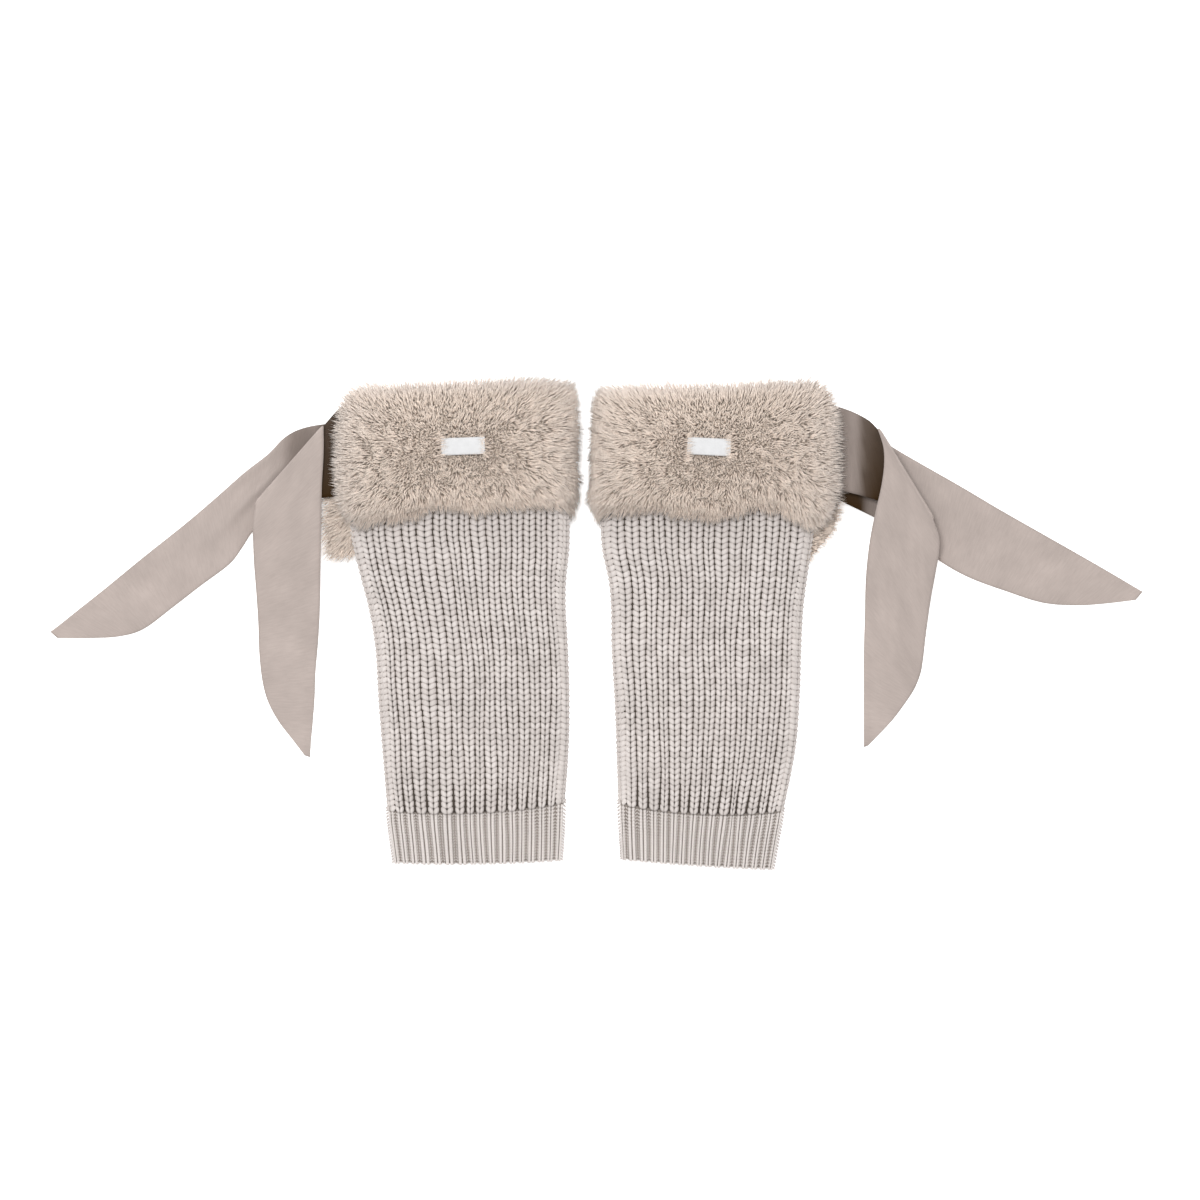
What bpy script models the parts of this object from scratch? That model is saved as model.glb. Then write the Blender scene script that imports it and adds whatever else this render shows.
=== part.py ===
"""A pair of children's leg warmers, laid flat side by side.

Each leg warmer is a tube of chunky ribbed knit with a finer ribbed hem. A cuff
of fur cloth is turned down over its top: the cuff wraps the knit, folds round
its inner side and is open at its outer side. A sash tie comes out of each edge
of that opening, one folded over to hang down and one lying out to the side, and
a small woven tab is sewn on the front of the cuff.

Sizes are in millimetres until a mesh is made. +X is to the right, +Y is towards
the cuffs and +Z is up from the surface that the pair lies on.
"""
import math
from collections import namedtuple

import bmesh
import bpy
from mathutils import Matrix, Vector

MM = 0.001
COLLECTION = "leg_warmers"
SEAM_GAP = 0.3
SHARP_EDGE = math.radians(45.0)

# Knit
RIBS = 17
WALL_COLUMNS = "wall inner_gap rib_height crest_from crest_to side_round"
KnitWall = namedtuple("KnitWall", WALL_COLUMNS)
LEG_WALL = KnitWall(2.3, 0.8, 1.3, 0.3, 0.7, 4.5)
HEM_WALL = KnitWall(1.9, 0.7, 0.9, 0.22, 0.62, 3.6)
UNDERSIDE_POINTS = 6
SIDE_SHARE = 0.2
SIDE_HEIGHT = 0.4

# Heights of the layers under and in the cuff
KNIT_LIFT = 7.2
SLOPE_TOP = 46.0
SLOPE_FOOT = 2.0
BACK_PILE = 6.8
FRONT_PILE_FROM = 14.3
FRONT_PILE_TO = 25.3

# Cuff
FRONT_EDGE = (16.4, 17.6)
BACK_EDGE = (0.9, 2.8)
EDGE_REACH = 9.0
FOLD_REACH = 11.0
FOLD_INNER = 5.8
FOLD_EDGE_IN = 2.5
FOLD_CELLS = 6
FRONT_CELLS = 20
BACK_CELLS = 10
END_CELLS = (0.0, 0.02, 0.055, 0.1)
DROPS = (0.0, 0.03, 0.09, 0.2, 0.31, 0.37, 0.47, 0.57, 0.68, 0.8, 0.91, 0.97, 1.0)
TUFT_HEIGHT = 0.7
TUFT_PITCH = 17.0
TUFT_STRETCH = 0.8
TUFT_SLANT = (0.6, -0.7)
BROAD_TUFTS = 0.6

# Tab
TAB_SIZE = (24.0, 9.5, 0.8)
TAB_CORNER = 0.3
TAB_BED = 22.4
TAB_BED_MARGIN = (6.5, 3.4)
TAB_BED_SLOPE = 7.0

# Sash ties
SASH = 1.2
SASH_ACROSS = 4
SASH_STEPS = 2
TURN_STEPS = 5

# Courses of the knit, from the cuff to the hem: the height along the tube at its
# left edge, middle and right edge, and where its two edges are
Course = namedtuple("Course", "y_left y_mid y_right x_left x_right")
LEFT_LEG = (
    Course(127.0, 127.5, 127.5, -132.0, -17.0),
    Course(112.0, 112.0, 112.0, -134.0, -14.6),
    Course(80.0, 80.0, 80.0, -134.6, -14.4),
    Course(53.0, 53.0, 53.0, -135.4, -14.4),
    Course(39.0, 39.0, 39.0, -133.1, -14.8),
    Course(24.0, 24.0, 24.0, -129.5, -16.4),
    Course(7.5, 7.5, 7.5, -125.4, -16.6),
    Course(-14.5, -14.5, -14.5, -121.8, -15.4),
    Course(-42.0, -42.0, -42.0, -120.2, -14.6),
    Course(-70.0, -70.0, -70.0, -118.0, -15.1),
    Course(-102.9, -104.0, -98.5, -115.2, -17.3),
)
LEFT_HEM = (
    Course(-103.2, -104.3, -98.8, -115.2, -17.3),
    Course(-109.5, -110.0, -106.5, -114.8, -17.5),
    Course(-118.0, -118.5, -116.0, -113.7, -17.9),
    Course(-131.6, -132.2, -130.2, -111.8, -18.9),
)
RIGHT_LEG = (
    Course(123.5, 124.0, 123.5, 4.5, 117.5),
    Course(108.0, 108.0, 108.0, 1.8, 120.5),
    Course(80.0, 80.0, 80.0, 1.6, 121.0),
    Course(53.0, 53.0, 53.0, 1.9, 119.8),
    Course(39.0, 39.0, 39.0, 3.0, 118.0),
    Course(24.0, 24.0, 24.0, 6.3, 115.8),
    Course(7.5, 7.5, 7.5, 7.7, 113.9),
    Course(-14.5, -14.5, -14.5, 8.0, 112.8),
    Course(-42.0, -42.0, -42.0, 9.6, 111.9),
    Course(-70.0, -70.0, -70.0, 10.7, 109.5),
    Course(-98.6, -104.6, -102.9, 11.8, 102.9),
)
RIGHT_HEM = (
    Course(-98.9, -104.9, -103.2, 11.8, 102.9),
    Course(-106.0, -110.5, -109.5, 12.0, 102.0),
    Course(-116.0, -119.0, -119.0, 12.6, 100.2),
    Course(-129.6, -133.2, -135.3, 13.5, 97.4),
)

# Cuff edges by the share of its drop, from its top: the outer edge of the front
# and of the back panel, and the reach of the fold on the inner side
CuffDrop = namedtuple("CuffDrop", "drop x_front x_back x_fold")
LEFT_CUFF_DROP = (
    CuffDrop(0.0, -140.5, -136.0, -8.8),
    CuffDrop(0.12, -143.8, -139.5, -8.0),
    CuffDrop(0.35, -145.3, -141.0, -7.6),
    CuffDrop(0.65, -145.9, -145.0, -7.8),
    CuffDrop(0.86, -145.6, -148.5, -7.4),
    CuffDrop(1.0, -142.0, -145.5, -8.4),
)
RIGHT_CUFF_DROP = (
    CuffDrop(0.0, 131.5, 128.0, -1.8),
    CuffDrop(0.12, 134.6, 131.0, -3.6),
    CuffDrop(0.35, 135.6, 133.0, -4.8),
    CuffDrop(0.65, 136.2, 134.5, -5.2),
    CuffDrop(0.86, 135.8, 133.5, -6.2),
    CuffDrop(1.0, 132.5, 129.0, -4.4),
)

# Cuff edges by the share of its width, from the opening to the fold: the top and
# the lower edge of each panel, with the scallops of the fur
CuffAcross = namedtuple("CuffAcross", "across y_front y_front_low y_back y_back_low")
LEFT_CUFF_ACROSS = (
    CuffAcross(0.0, 120.5, 62.0, 119.0, 40.0),
    CuffAcross(0.05, 126.5, 55.0, 124.5, 35.8),
    CuffAcross(0.12, 130.0, 53.5, 127.5, 36.5),
    CuffAcross(0.22, 132.2, 53.0, 129.5, 44.0),
    CuffAcross(0.32, 132.8, 56.0, 130.5, 48.5),
    CuffAcross(0.42, 133.2, 60.8, 131.0, 50.0),
    CuffAcross(0.52, 133.9, 60.4, 131.5, 50.0),
    CuffAcross(0.62, 134.2, 57.6, 131.5, 49.5),
    CuffAcross(0.75, 134.8, 60.0, 132.0, 50.0),
    CuffAcross(0.9, 135.4, 61.5, 132.5, 51.5),
    CuffAcross(1.0, 134.0, 60.5, 131.0, 54.0),
)
RIGHT_CUFF_ACROSS = (
    CuffAcross(0.0, 119.5, 60.5, 117.5, 54.0),
    CuffAcross(0.05, 128.3, 54.2, 125.5, 48.0),
    CuffAcross(0.1, 132.0, 53.0, 128.5, 39.5),
    CuffAcross(0.16, 133.6, 55.3, 130.0, 34.0),
    CuffAcross(0.24, 134.4, 58.4, 131.0, 39.0),
    CuffAcross(0.32, 133.4, 60.2, 130.5, 46.0),
    CuffAcross(0.44, 132.2, 57.0, 129.5, 49.0),
    CuffAcross(0.52, 131.6, 54.4, 129.0, 50.0),
    CuffAcross(0.66, 131.3, 55.8, 128.5, 50.0),
    CuffAcross(0.82, 130.6, 59.7, 128.0, 50.0),
    CuffAcross(1.0, 129.6, 57.5, 127.0, 52.0),
)
Tab = namedtuple("Tab", "x y turn")
LEFT_TAB = Tab(-72.9, 97.1, 0.0)
RIGHT_TAB = Tab(61.6, 96.8, -3.0)

# Sash sections: the two edges of the cloth. A tie that folds over has a run from
# the cuff to its fold, and a tail from the fold to its point
SashRow = namedtuple("SashRow", "xa ya za xb yb zb")
LEFT_REAR_TAIL = (
    SashRow(-138.0, 109.5, 7.8, -138.0, 71.0, 7.8),
    SashRow(-149.0, 109.0, 7.8, -151.0, 69.0, 7.8),
    SashRow(-162.0, 107.0, 6.6, -167.5, 61.5, 5.6),
    SashRow(-171.5, 102.0, 5.2, -180.5, 56.0, 3.8),
    SashRow(-180.5, 93.0, 3.6, -189.0, 50.5, 2.2),
    SashRow(-193.5, 83.0, 2.0, -195.0, 41.5, 1.0),
    SashRow(-210.0, 68.5, 0.8, -202.0, 32.5, 0.6),
    SashRow(-226.5, 54.5, 0.6, -218.0, 20.5, 0.6),
    SashRow(-248.5, 37.0, 0.6, -233.5, 8.5, 0.6),
    SashRow(-270.5, 19.0, 0.6, -249.0, -3.0, 0.6),
    SashRow(-285.0, 7.5, 0.6, -262.0, -7.0, 0.6),
    SashRow(-295.0, -0.5, 0.6, -277.5, -8.0, 0.6),
    SashRow(-300.3, -4.5, 0.6, -296.5, -8.0, 0.6),
)
LEFT_FRONT_RUN = (
    SashRow(-138.0, 111.5, 13.3, -138.0, 72.0, 13.3),
    SashRow(-144.5, 111.0, 13.3, -154.5, 69.5, 11.4),
    SashRow(-149.5, 108.0, 13.3, -187.0, 65.5, 7.6),
)
LEFT_FRONT_TAIL = (
    SashRow(-149.5, 108.0, 16.4, -187.0, 65.5, 11.6),
    SashRow(-149.5, 92.5, 15.8, -188.5, 54.5, 10.6),
    SashRow(-150.5, 75.0, 14.2, -188.5, 44.5, 8.6),
    SashRow(-151.0, 54.0, 11.0, -188.0, 31.5, 5.8),
    SashRow(-151.5, 32.0, 7.0, -187.0, 17.5, 3.2),
    SashRow(-152.0, 10.0, 3.2, -186.0, 1.0, 1.2),
    SashRow(-153.0, -9.0, 1.0, -185.5, -15.0, 0.6),
    SashRow(-154.5, -26.5, 0.6, -184.0, -30.0, 0.6),
    SashRow(-155.0, -40.5, 0.6, -181.0, -42.0, 0.6),
    SashRow(-156.0, -54.0, 0.6, -175.0, -53.5, 0.6),
    SashRow(-157.0, -65.0, 0.6, -167.0, -64.0, 0.6),
    SashRow(-157.5, -73.5, 0.6, -160.5, -72.5, 0.6),
)
RIGHT_REAR_TAIL = (
    SashRow(128.5, 116.5, 7.8, 128.5, 74.5, 7.8),
    SashRow(138.5, 112.0, 7.8, 137.0, 69.5, 7.8),
    SashRow(151.5, 104.0, 6.8, 147.0, 64.0, 6.6),
    SashRow(164.0, 96.0, 5.4, 158.5, 57.5, 5.0),
    SashRow(180.5, 86.5, 3.6, 173.5, 46.0, 3.0),
    SashRow(200.0, 75.5, 1.8, 190.0, 33.5, 1.2),
    SashRow(222.0, 62.5, 0.7, 205.5, 25.0, 0.6),
    SashRow(244.0, 50.0, 0.6, 224.5, 18.0, 0.6),
    SashRow(266.0, 37.5, 0.6, 245.0, 11.5, 0.6),
    SashRow(282.5, 28.0, 0.6, 263.5, 10.0, 0.6),
    SashRow(293.5, 21.5, 0.6, 280.0, 11.0, 0.6),
    SashRow(300.3, 17.5, 0.6, 296.5, 13.0, 0.6),
)
RIGHT_FRONT_RUN = (
    SashRow(128.5, 120.0, 13.3, 128.5, 74.0, 13.3),
    SashRow(139.5, 116.5, 13.3, 144.0, 70.5, 12.6),
    SashRow(149.0, 111.5, 13.4, 167.0, 63.5, 10.8),
    SashRow(154.0, 106.5, 13.4, 184.5, 57.5, 8.4),
)
RIGHT_FRONT_TAIL = (
    SashRow(154.0, 106.5, 18.4, 184.5, 57.5, 12.6),
    SashRow(157.0, 97.0, 18.0, 188.0, 47.5, 11.0),
    SashRow(157.5, 87.0, 17.0, 188.0, 39.0, 8.6),
    SashRow(156.0, 75.0, 15.2, 186.0, 26.5, 5.4),
    SashRow(153.0, 61.5, 12.4, 183.5, 12.0, 2.8),
    SashRow(150.0, 45.5, 8.4, 181.0, -6.5, 1.0),
    SashRow(148.0, 25.5, 4.4, 179.5, -20.0, 0.6),
    SashRow(147.5, 3.5, 1.4, 178.0, -28.0, 0.6),
    SashRow(147.0, -15.5, 0.6, 174.5, -36.5, 0.6),
    SashRow(147.0, -34.5, 0.6, 168.5, -45.5, 0.6),
    SashRow(147.0, -51.5, 0.6, 161.5, -54.5, 0.6),
    SashRow(147.0, -68.0, 0.6, 149.5, -67.0, 0.6),
)

# One leg warmer: outward is -1 where its opening faces -X and +1 where it faces +X
LEG_COLUMNS = "name outward leg hem cuff_drop cuff_across tab front_run front_tail rear_tail"
LegWarmer = namedtuple("LegWarmer", LEG_COLUMNS)
PAIR = (
    LegWarmer("left", -1, LEFT_LEG, LEFT_HEM, LEFT_CUFF_DROP, LEFT_CUFF_ACROSS, LEFT_TAB,
              LEFT_FRONT_RUN, LEFT_FRONT_TAIL, LEFT_REAR_TAIL),
    LegWarmer("right", 1, RIGHT_LEG, RIGHT_HEM, RIGHT_CUFF_DROP, RIGHT_CUFF_ACROSS, RIGHT_TAB,
              RIGHT_FRONT_RUN, RIGHT_FRONT_TAIL, RIGHT_REAR_TAIL),
)

Finish = namedtuple("Finish", "name colour roughness")
KNIT = Finish("knit", (0.55, 0.50, 0.475), 0.9)
FUR = Finish("fur", (0.52, 0.43, 0.355), 0.95)
SATIN = Finish("sash", (0.54, 0.475, 0.435), 0.6)
WOVEN = Finish("tab", (0.60, 0.58, 0.56), 0.7)


def mix(start, end, share):
    """The value a share of the way from start to end."""
    return start + (end - start) * share


def ease(share):
    """A share kept between 0 and 1, with a gentle start and end."""
    share = min(max(share, 0.0), 1.0)
    return share * share * (3.0 - 2.0 * share)


def round_over(distance, reach):
    """0 at an edge and 1 from its reach inwards, rising as a quarter circle."""
    share = min(max(distance / reach, 0.0), 1.0)
    return math.sqrt(1.0 - (1.0 - share) ** 2)


def read(table, column, at):
    """A column's value at a place on the table's first column, eased between rows."""
    row = 0
    while row < len(table) - 2 and table[row + 1][0] < at:
        row += 1
    start = table[row]
    end = table[row + 1]
    share = ease((at - start[0]) / (end[0] - start[0]))
    return mix(getattr(start, column), getattr(end, column), share)


def smooth_rows(rows, steps):
    """The rows with steps - 1 more between each two, on a curve through them all."""
    fine = []
    for index in range(len(rows) - 1):
        start = rows[index]
        end = rows[index + 1]
        before = rows[max(index - 1, 0)]
        after = rows[min(index + 2, len(rows) - 1)]
        for step in range(steps):
            share = step / steps
            values = []
            for a, b, c, d in zip(before, start, end, after):
                bend = (2 * a - 5 * b + 4 * c - d) * share ** 2
                twist = (3 * b - a - 3 * c + d) * share ** 3
                values.append(0.5 * (2 * b + (c - a) * share + bend + twist))
            fine.append(type(start)(*values))
    fine.append(rows[-1])
    return fine


def knit_lift(y):
    """How far the knit lies above the surface: on the cuff's back, then down to it."""
    return KNIT_LIFT * (1.0 - ease((SLOPE_TOP - y) / (SLOPE_TOP - SLOPE_FOOT)))


def course_y(course, x):
    """The height along the tube of a course at x, a parabola through its three."""
    across = (x - course.x_left) / (course.x_right - course.x_left)
    straight = mix(course.y_left, course.y_right, across)
    sag = course.y_mid - mix(course.y_left, course.y_right, 0.5)
    return straight + 4.0 * sag * across * (1.0 - across)


def course_rings(course, wall):
    """The outer ring of a course, with its ribs, and the plain ring inside it.

    Both are lists of points, and the third list pairs each outer point with an inner one.
    """
    x_left = course.x_left
    x_right = course.x_right
    pitch = (x_right - x_left) / RIBS
    top = 2.0 * wall.wall + wall.inner_gap
    middle = 0.5 * top
    side = wall.side_round
    outer = []
    partners = []
    for rib in range(RIBS):
        for share, rise in ((0.0, 0.0), (wall.crest_from, 1.0), (wall.crest_to, 1.0)):
            x = x_left + (rib + share) * pitch
            edge = round_over(min(x - x_left, x_right - x), side)
            outer.append((x, middle + (top - middle) * edge + rise * wall.rib_height))
            partners.append(rib)
    outer += [(x_right, middle), (x_right - SIDE_SHARE * side, SIDE_HEIGHT * middle)]
    partners += [RIBS, RIBS]
    ceiling = wall.wall + wall.inner_gap
    inner = [(x_left + wall.wall, middle)]
    inner += [(x_left + rib * pitch, ceiling) for rib in range(1, RIBS)]
    inner.append((x_right - wall.wall, middle))
    for step in range(UNDERSIDE_POINTS):
        x = mix(x_right - side, x_left + side, step / (UNDERSIDE_POINTS - 1))
        partners.append(len(inner))
        outer.append((x, 0.0))
        inner.append((x, wall.wall))
    outer.append((x_left + SIDE_SHARE * side, SIDE_HEIGHT * middle))
    partners.append(0)
    rings = []
    for ring in (outer, inner):
        placed = []
        for x, z in ring:
            y = course_y(course, x)
            placed.append(Vector((x, y, z + knit_lift(y))))
        rings.append(placed)
    return rings[0], rings[1], partners


def new_object(name, mesh, finish, collection):
    """An object in the collection, smooth but for its sharp edges, in its finish."""
    thing = bpy.data.objects.new(name, mesh)
    collection.objects.link(thing)
    mesh.materials.append(finish)
    mesh.shade_smooth()
    mesh.set_sharp_from_angle(angle=SHARP_EDGE)
    return thing


def finish_mesh(shape, name):
    """The shape as a mesh in metres, with its faces pointing out."""
    bmesh.ops.recalc_face_normals(shape, faces=shape.faces)
    bmesh.ops.scale(shape, vec=(MM, MM, MM), verts=shape.verts)
    mesh = bpy.data.meshes.new(name)
    shape.to_mesh(mesh)
    shape.free()
    return mesh


def knit_tube(name, courses, wall, finish, collection):
    """A flattened tube of knit, ribbed outside on its upper side, lofted course by course."""
    shape = bmesh.new()
    outer = []
    inner = []
    for course in courses:
        outer_ring, inner_ring, partners = course_rings(course, wall)
        outer.append([shape.verts.new(point) for point in outer_ring])
        inner.append([shape.verts.new(point) for point in inner_ring])
    for rings in (outer, inner):
        for upper, lower in zip(rings, rings[1:]):
            for at in range(len(upper)):
                after = (at + 1) % len(upper)
                shape.faces.new((upper[at], upper[after], lower[after], lower[at]))
    for end in (0, -1):
        join_end(shape, outer[end], inner[end], partners)
    return new_object(name, finish_mesh(shape, name), finish, collection)


def join_end(shape, outer_ring, inner_ring, partners):
    """The open end of a tube's wall, from the outer ring to the coarser one inside."""
    for at, near in enumerate(outer_ring):
        after = (at + 1) % len(outer_ring)
        corner = inner_ring[partners[at]]
        following = inner_ring[partners[after]]
        shape.faces.new((corner, near, outer_ring[after]))
        if following is not corner:
            shape.faces.new((corner, outer_ring[after], following))


def tab_bed(leg, x, y):
    """1 where the pile is parted for the tab, falling to 0 round it."""
    beyond_x = abs(x - leg.tab.x) - 0.5 * TAB_SIZE[0] - TAB_BED_MARGIN[0]
    beyond_y = abs(y - leg.tab.y) - 0.5 * TAB_SIZE[1] - TAB_BED_MARGIN[1]
    beyond = math.hypot(max(beyond_x, 0.0), max(beyond_y, 0.0))
    return 1.0 - ease(beyond / TAB_BED_SLOPE)


def tuft(x, y):
    """The soft unevenness of the pile, between -1 and 1."""
    turn = 2.0 * math.pi / TUFT_PITCH
    broad = math.sin(turn * x) * math.sin(TUFT_STRETCH * turn * y)
    slanted = math.sin(TUFT_SLANT[0] * turn * x + TUFT_SLANT[1] * turn * y)
    return mix(slanted, broad, BROAD_TUFTS)


def front_heights(leg, x, y, edge):
    """The outer and the inner surface of the cuff's front panel."""
    top = FRONT_PILE_TO + TUFT_HEIGHT * tuft(x, y)
    top = mix(top, TAB_BED, tab_bed(leg, x, y))
    return mix(FRONT_EDGE[1], top, edge), mix(FRONT_EDGE[0], FRONT_PILE_FROM, edge)


def back_heights(edge):
    """The underside and the inner surface of the cuff's back panel."""
    return BACK_EDGE[0] * (1.0 - edge), mix(BACK_EDGE[1], BACK_PILE, edge)


def panel_points(leg, across, drop, front):
    """The outer and the inner point of a cuff panel."""
    fold_x = read(leg.cuff_drop, "x_fold", drop) + leg.outward * FOLD_REACH
    open_x = read(leg.cuff_drop, "x_front" if front else "x_back", drop)
    top_y = read(leg.cuff_across, "y_front" if front else "y_back", across)
    low_y = read(leg.cuff_across, "y_front_low" if front else "y_back_low", across)
    x = mix(open_x, fold_x, across)
    y = mix(top_y, low_y, drop)
    edge = round_over(min(abs(x - open_x), top_y - y, y - low_y), EDGE_REACH)
    heights = front_heights(leg, x, y, edge) if front else back_heights(edge)
    return Vector((x, y, heights[0])), Vector((x, y, heights[1]))


def fold_points(leg, turn, drop):
    """The outer and the inner point of the cuff's fold, turned from front to back."""
    front = panel_points(leg, 1.0, drop, True)
    back = panel_points(leg, 1.0, drop, False)
    height = front[0].y - read(leg.cuff_across, "y_front_low", 1.0)
    from_top = read(leg.cuff_across, "y_front", 1.0) - front[0].y
    edge = round_over(min(height, from_top), EDGE_REACH)
    reaches = (FOLD_REACH - FOLD_EDGE_IN * (1.0 - edge), FOLD_INNER)
    points = []
    for upper, lower, reach in zip(front, back, reaches):
        share = 0.5 * (1.0 - math.cos(turn))
        point = upper.lerp(lower, share)
        point.x = upper.x - leg.outward * reach * math.sin(turn)
        points.append(point)
    return points


def cuff_path():
    """The stations round a cuff: along the front, round the fold and along the back."""
    front = list(END_CELLS)
    front += [mix(END_CELLS[-1], 1.0, (cell + 1) / FRONT_CELLS) for cell in range(FRONT_CELLS)]
    back = list(END_CELLS)
    back += [mix(END_CELLS[-1], 1.0, (cell + 1) / BACK_CELLS) for cell in range(BACK_CELLS)]
    path = [("front", across) for across in front]
    path += [("fold", math.pi * cell / FOLD_CELLS) for cell in range(1, FOLD_CELLS)]
    path += [("back", across) for across in reversed(back)]
    return path


def fur_cuff(leg, finish, collection):
    """The cuff as one thick sheet, wrapped round the knit and rounded at its edges."""
    shape = bmesh.new()
    outer = []
    inner = []
    for place, at in cuff_path():
        column = []
        for drop in DROPS:
            if place == "fold":
                column.append(fold_points(leg, at, drop))
            else:
                column.append(panel_points(leg, at, drop, place == "front"))
        outer.append([shape.verts.new(points[0]) for points in column])
        inner.append([shape.verts.new(points[1]) for points in column])
    close_sheet(shape, outer, inner)
    name = leg.name + "_fur_cuff"
    return new_object(name, finish_mesh(shape, name), finish, collection)


def close_sheet(shape, outer, inner):
    """Faces over both sides of a thick sheet and round its four edges."""
    for grid in (outer, inner):
        for here, there in zip(grid, grid[1:]):
            for at in range(len(here) - 1):
                shape.faces.new((here[at], here[at + 1], there[at + 1], there[at]))
    for end in (0, -1):
        for at in range(len(outer[end]) - 1):
            shape.faces.new((outer[end][at], outer[end][at + 1], inner[end][at + 1], inner[end][at]))
        for station in range(len(outer) - 1):
            shape.faces.new((outer[station][end], outer[station + 1][end],
                             inner[station + 1][end], inner[station][end]))


def turn_rows(start, end):
    """The rows of a fold, from the run's last row up and round to the tail's first."""
    along = Vector((start.xb - start.xa, start.yb - start.ya, 0.0)).normalized()
    outward = Vector((along.y, -along.x, 0.0))
    if outward.x * start.xa < 0.0:
        outward.negate()
    rows = []
    for step in range(1, TURN_STEPS):
        angle = math.pi * step / TURN_STEPS
        share = 0.5 * (1.0 - math.cos(angle))
        push_a = 0.5 * (end.za - start.za) * math.sin(angle)
        push_b = 0.5 * (end.zb - start.zb) * math.sin(angle)
        rows.append(SashRow(start.xa + outward.x * push_a, start.ya + outward.y * push_a,
                            mix(start.za, end.za, share),
                            start.xb + outward.x * push_b, start.yb + outward.y * push_b,
                            mix(start.zb, end.zb, share)))
    return rows


def sash_tie(name, run, tail, finish, collection):
    """A sash lofted edge to edge through its rows, with the thickness of its two layers."""
    rows = smooth_rows(tail, SASH_STEPS)
    if run:
        rows = smooth_rows(run, SASH_STEPS) + turn_rows(run[-1], tail[0]) + rows
    shape = bmesh.new()
    lines = []
    for row in rows:
        side_a = Vector((row.xa, row.ya, max(row.za, 0.5 * SASH)))
        side_b = Vector((row.xb, row.yb, max(row.zb, 0.5 * SASH)))
        lines.append([shape.verts.new(side_a.lerp(side_b, step / SASH_ACROSS))
                      for step in range(SASH_ACROSS + 1)])
    for here, there in zip(lines, lines[1:]):
        for at in range(SASH_ACROSS):
            shape.faces.new((here[at], here[at + 1], there[at + 1], there[at]))
    sash = new_object(name, finish_mesh(shape, name), finish, collection)
    cloth = sash.modifiers.new("cloth", "SOLIDIFY")
    cloth.thickness = SASH * MM
    cloth.offset = 0.0
    return sash


def woven_tab(leg, finish, collection):
    """The tab: a thin plate lying in the parted pile."""
    shape = bmesh.new()
    bmesh.ops.create_cube(shape, size=1.0)
    bmesh.ops.scale(shape, vec=TAB_SIZE, verts=shape.verts)
    turned = Matrix.Rotation(math.radians(leg.tab.turn), 3, "Z")
    bmesh.ops.rotate(shape, cent=(0.0, 0.0, 0.0), matrix=turned, verts=shape.verts)
    height = TAB_BED + SEAM_GAP + 0.5 * TAB_SIZE[2]
    bmesh.ops.translate(shape, vec=(leg.tab.x, leg.tab.y, height), verts=shape.verts)
    name = leg.name + "_label"
    tab = new_object(name, finish_mesh(shape, name), finish, collection)
    corners = tab.modifiers.new("corners", "BEVEL")
    corners.width = TAB_CORNER * MM
    corners.segments = 2
    return tab


def make_finish(finish):
    """A Principled material from a finish."""
    material = bpy.data.materials.new(finish.name)
    material.use_nodes = True
    surface = material.node_tree.nodes["Principled BSDF"]
    surface.inputs["Base Color"].default_value = (*finish.colour, 1.0)
    surface.inputs["Roughness"].default_value = finish.roughness
    surface.inputs["Metallic"].default_value = 0.0
    return material


def main():
    """Clear the scene and build both leg warmers."""
    for thing in list(bpy.data.objects):
        bpy.data.objects.remove(thing, do_unlink=True)
    collection = bpy.data.collections.new(COLLECTION)
    bpy.context.scene.collection.children.link(collection)
    knit = make_finish(KNIT)
    fur = make_finish(FUR)
    satin = make_finish(SATIN)
    woven = make_finish(WOVEN)
    for leg in PAIR:
        knit_tube(leg.name + "_body_knit", leg.leg, LEG_WALL, knit, collection)
        knit_tube(leg.name + "_hem_rib", leg.hem, HEM_WALL, knit, collection)
        fur_cuff(leg, fur, collection)
        sash_tie(leg.name + "_tie_front", leg.front_run, leg.front_tail, satin, collection)
        sash_tie(leg.name + "_tie_rear", (), leg.rear_tail, satin, collection)
        woven_tab(leg, woven, collection)


main()
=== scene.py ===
"""The looks of a pair of children's leg warmers, laid flat side by side.

Each leg warmer is a tube of chunky ribbed knit with a finer ribbed hem. A fur cuff
is turned down over its top and open at its outer side, a sash tie comes out of each
edge of that opening, and a plain woven tab is sewn on the front of the cuff.

Sizes are in millimetres until a mesh is made. +X is to the right, +Y is towards the
cuffs and +Z is up from the surface that the pair lies on. The tables are the solids'
own, with small corrections to the edges of the cuffs and to the ends of the ties.
"""

import logging
import math
from dataclasses import asdict, dataclass
from enum import Enum
from typing import Any, NamedTuple, Sequence

import bpy
import numpy as np
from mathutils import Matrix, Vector


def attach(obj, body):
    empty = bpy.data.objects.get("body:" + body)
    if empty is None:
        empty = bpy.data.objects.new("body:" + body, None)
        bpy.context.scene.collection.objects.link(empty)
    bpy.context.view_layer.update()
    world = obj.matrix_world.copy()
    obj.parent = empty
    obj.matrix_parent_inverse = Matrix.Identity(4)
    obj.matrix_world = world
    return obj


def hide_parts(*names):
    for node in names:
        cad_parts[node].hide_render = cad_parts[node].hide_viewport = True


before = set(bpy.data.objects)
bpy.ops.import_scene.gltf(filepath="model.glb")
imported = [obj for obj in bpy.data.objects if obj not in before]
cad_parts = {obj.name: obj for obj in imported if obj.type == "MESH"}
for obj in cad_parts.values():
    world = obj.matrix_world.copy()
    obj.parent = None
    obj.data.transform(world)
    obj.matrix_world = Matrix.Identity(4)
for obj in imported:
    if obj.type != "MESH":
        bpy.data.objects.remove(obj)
log = logging.getLogger("leg_warmers")

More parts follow.
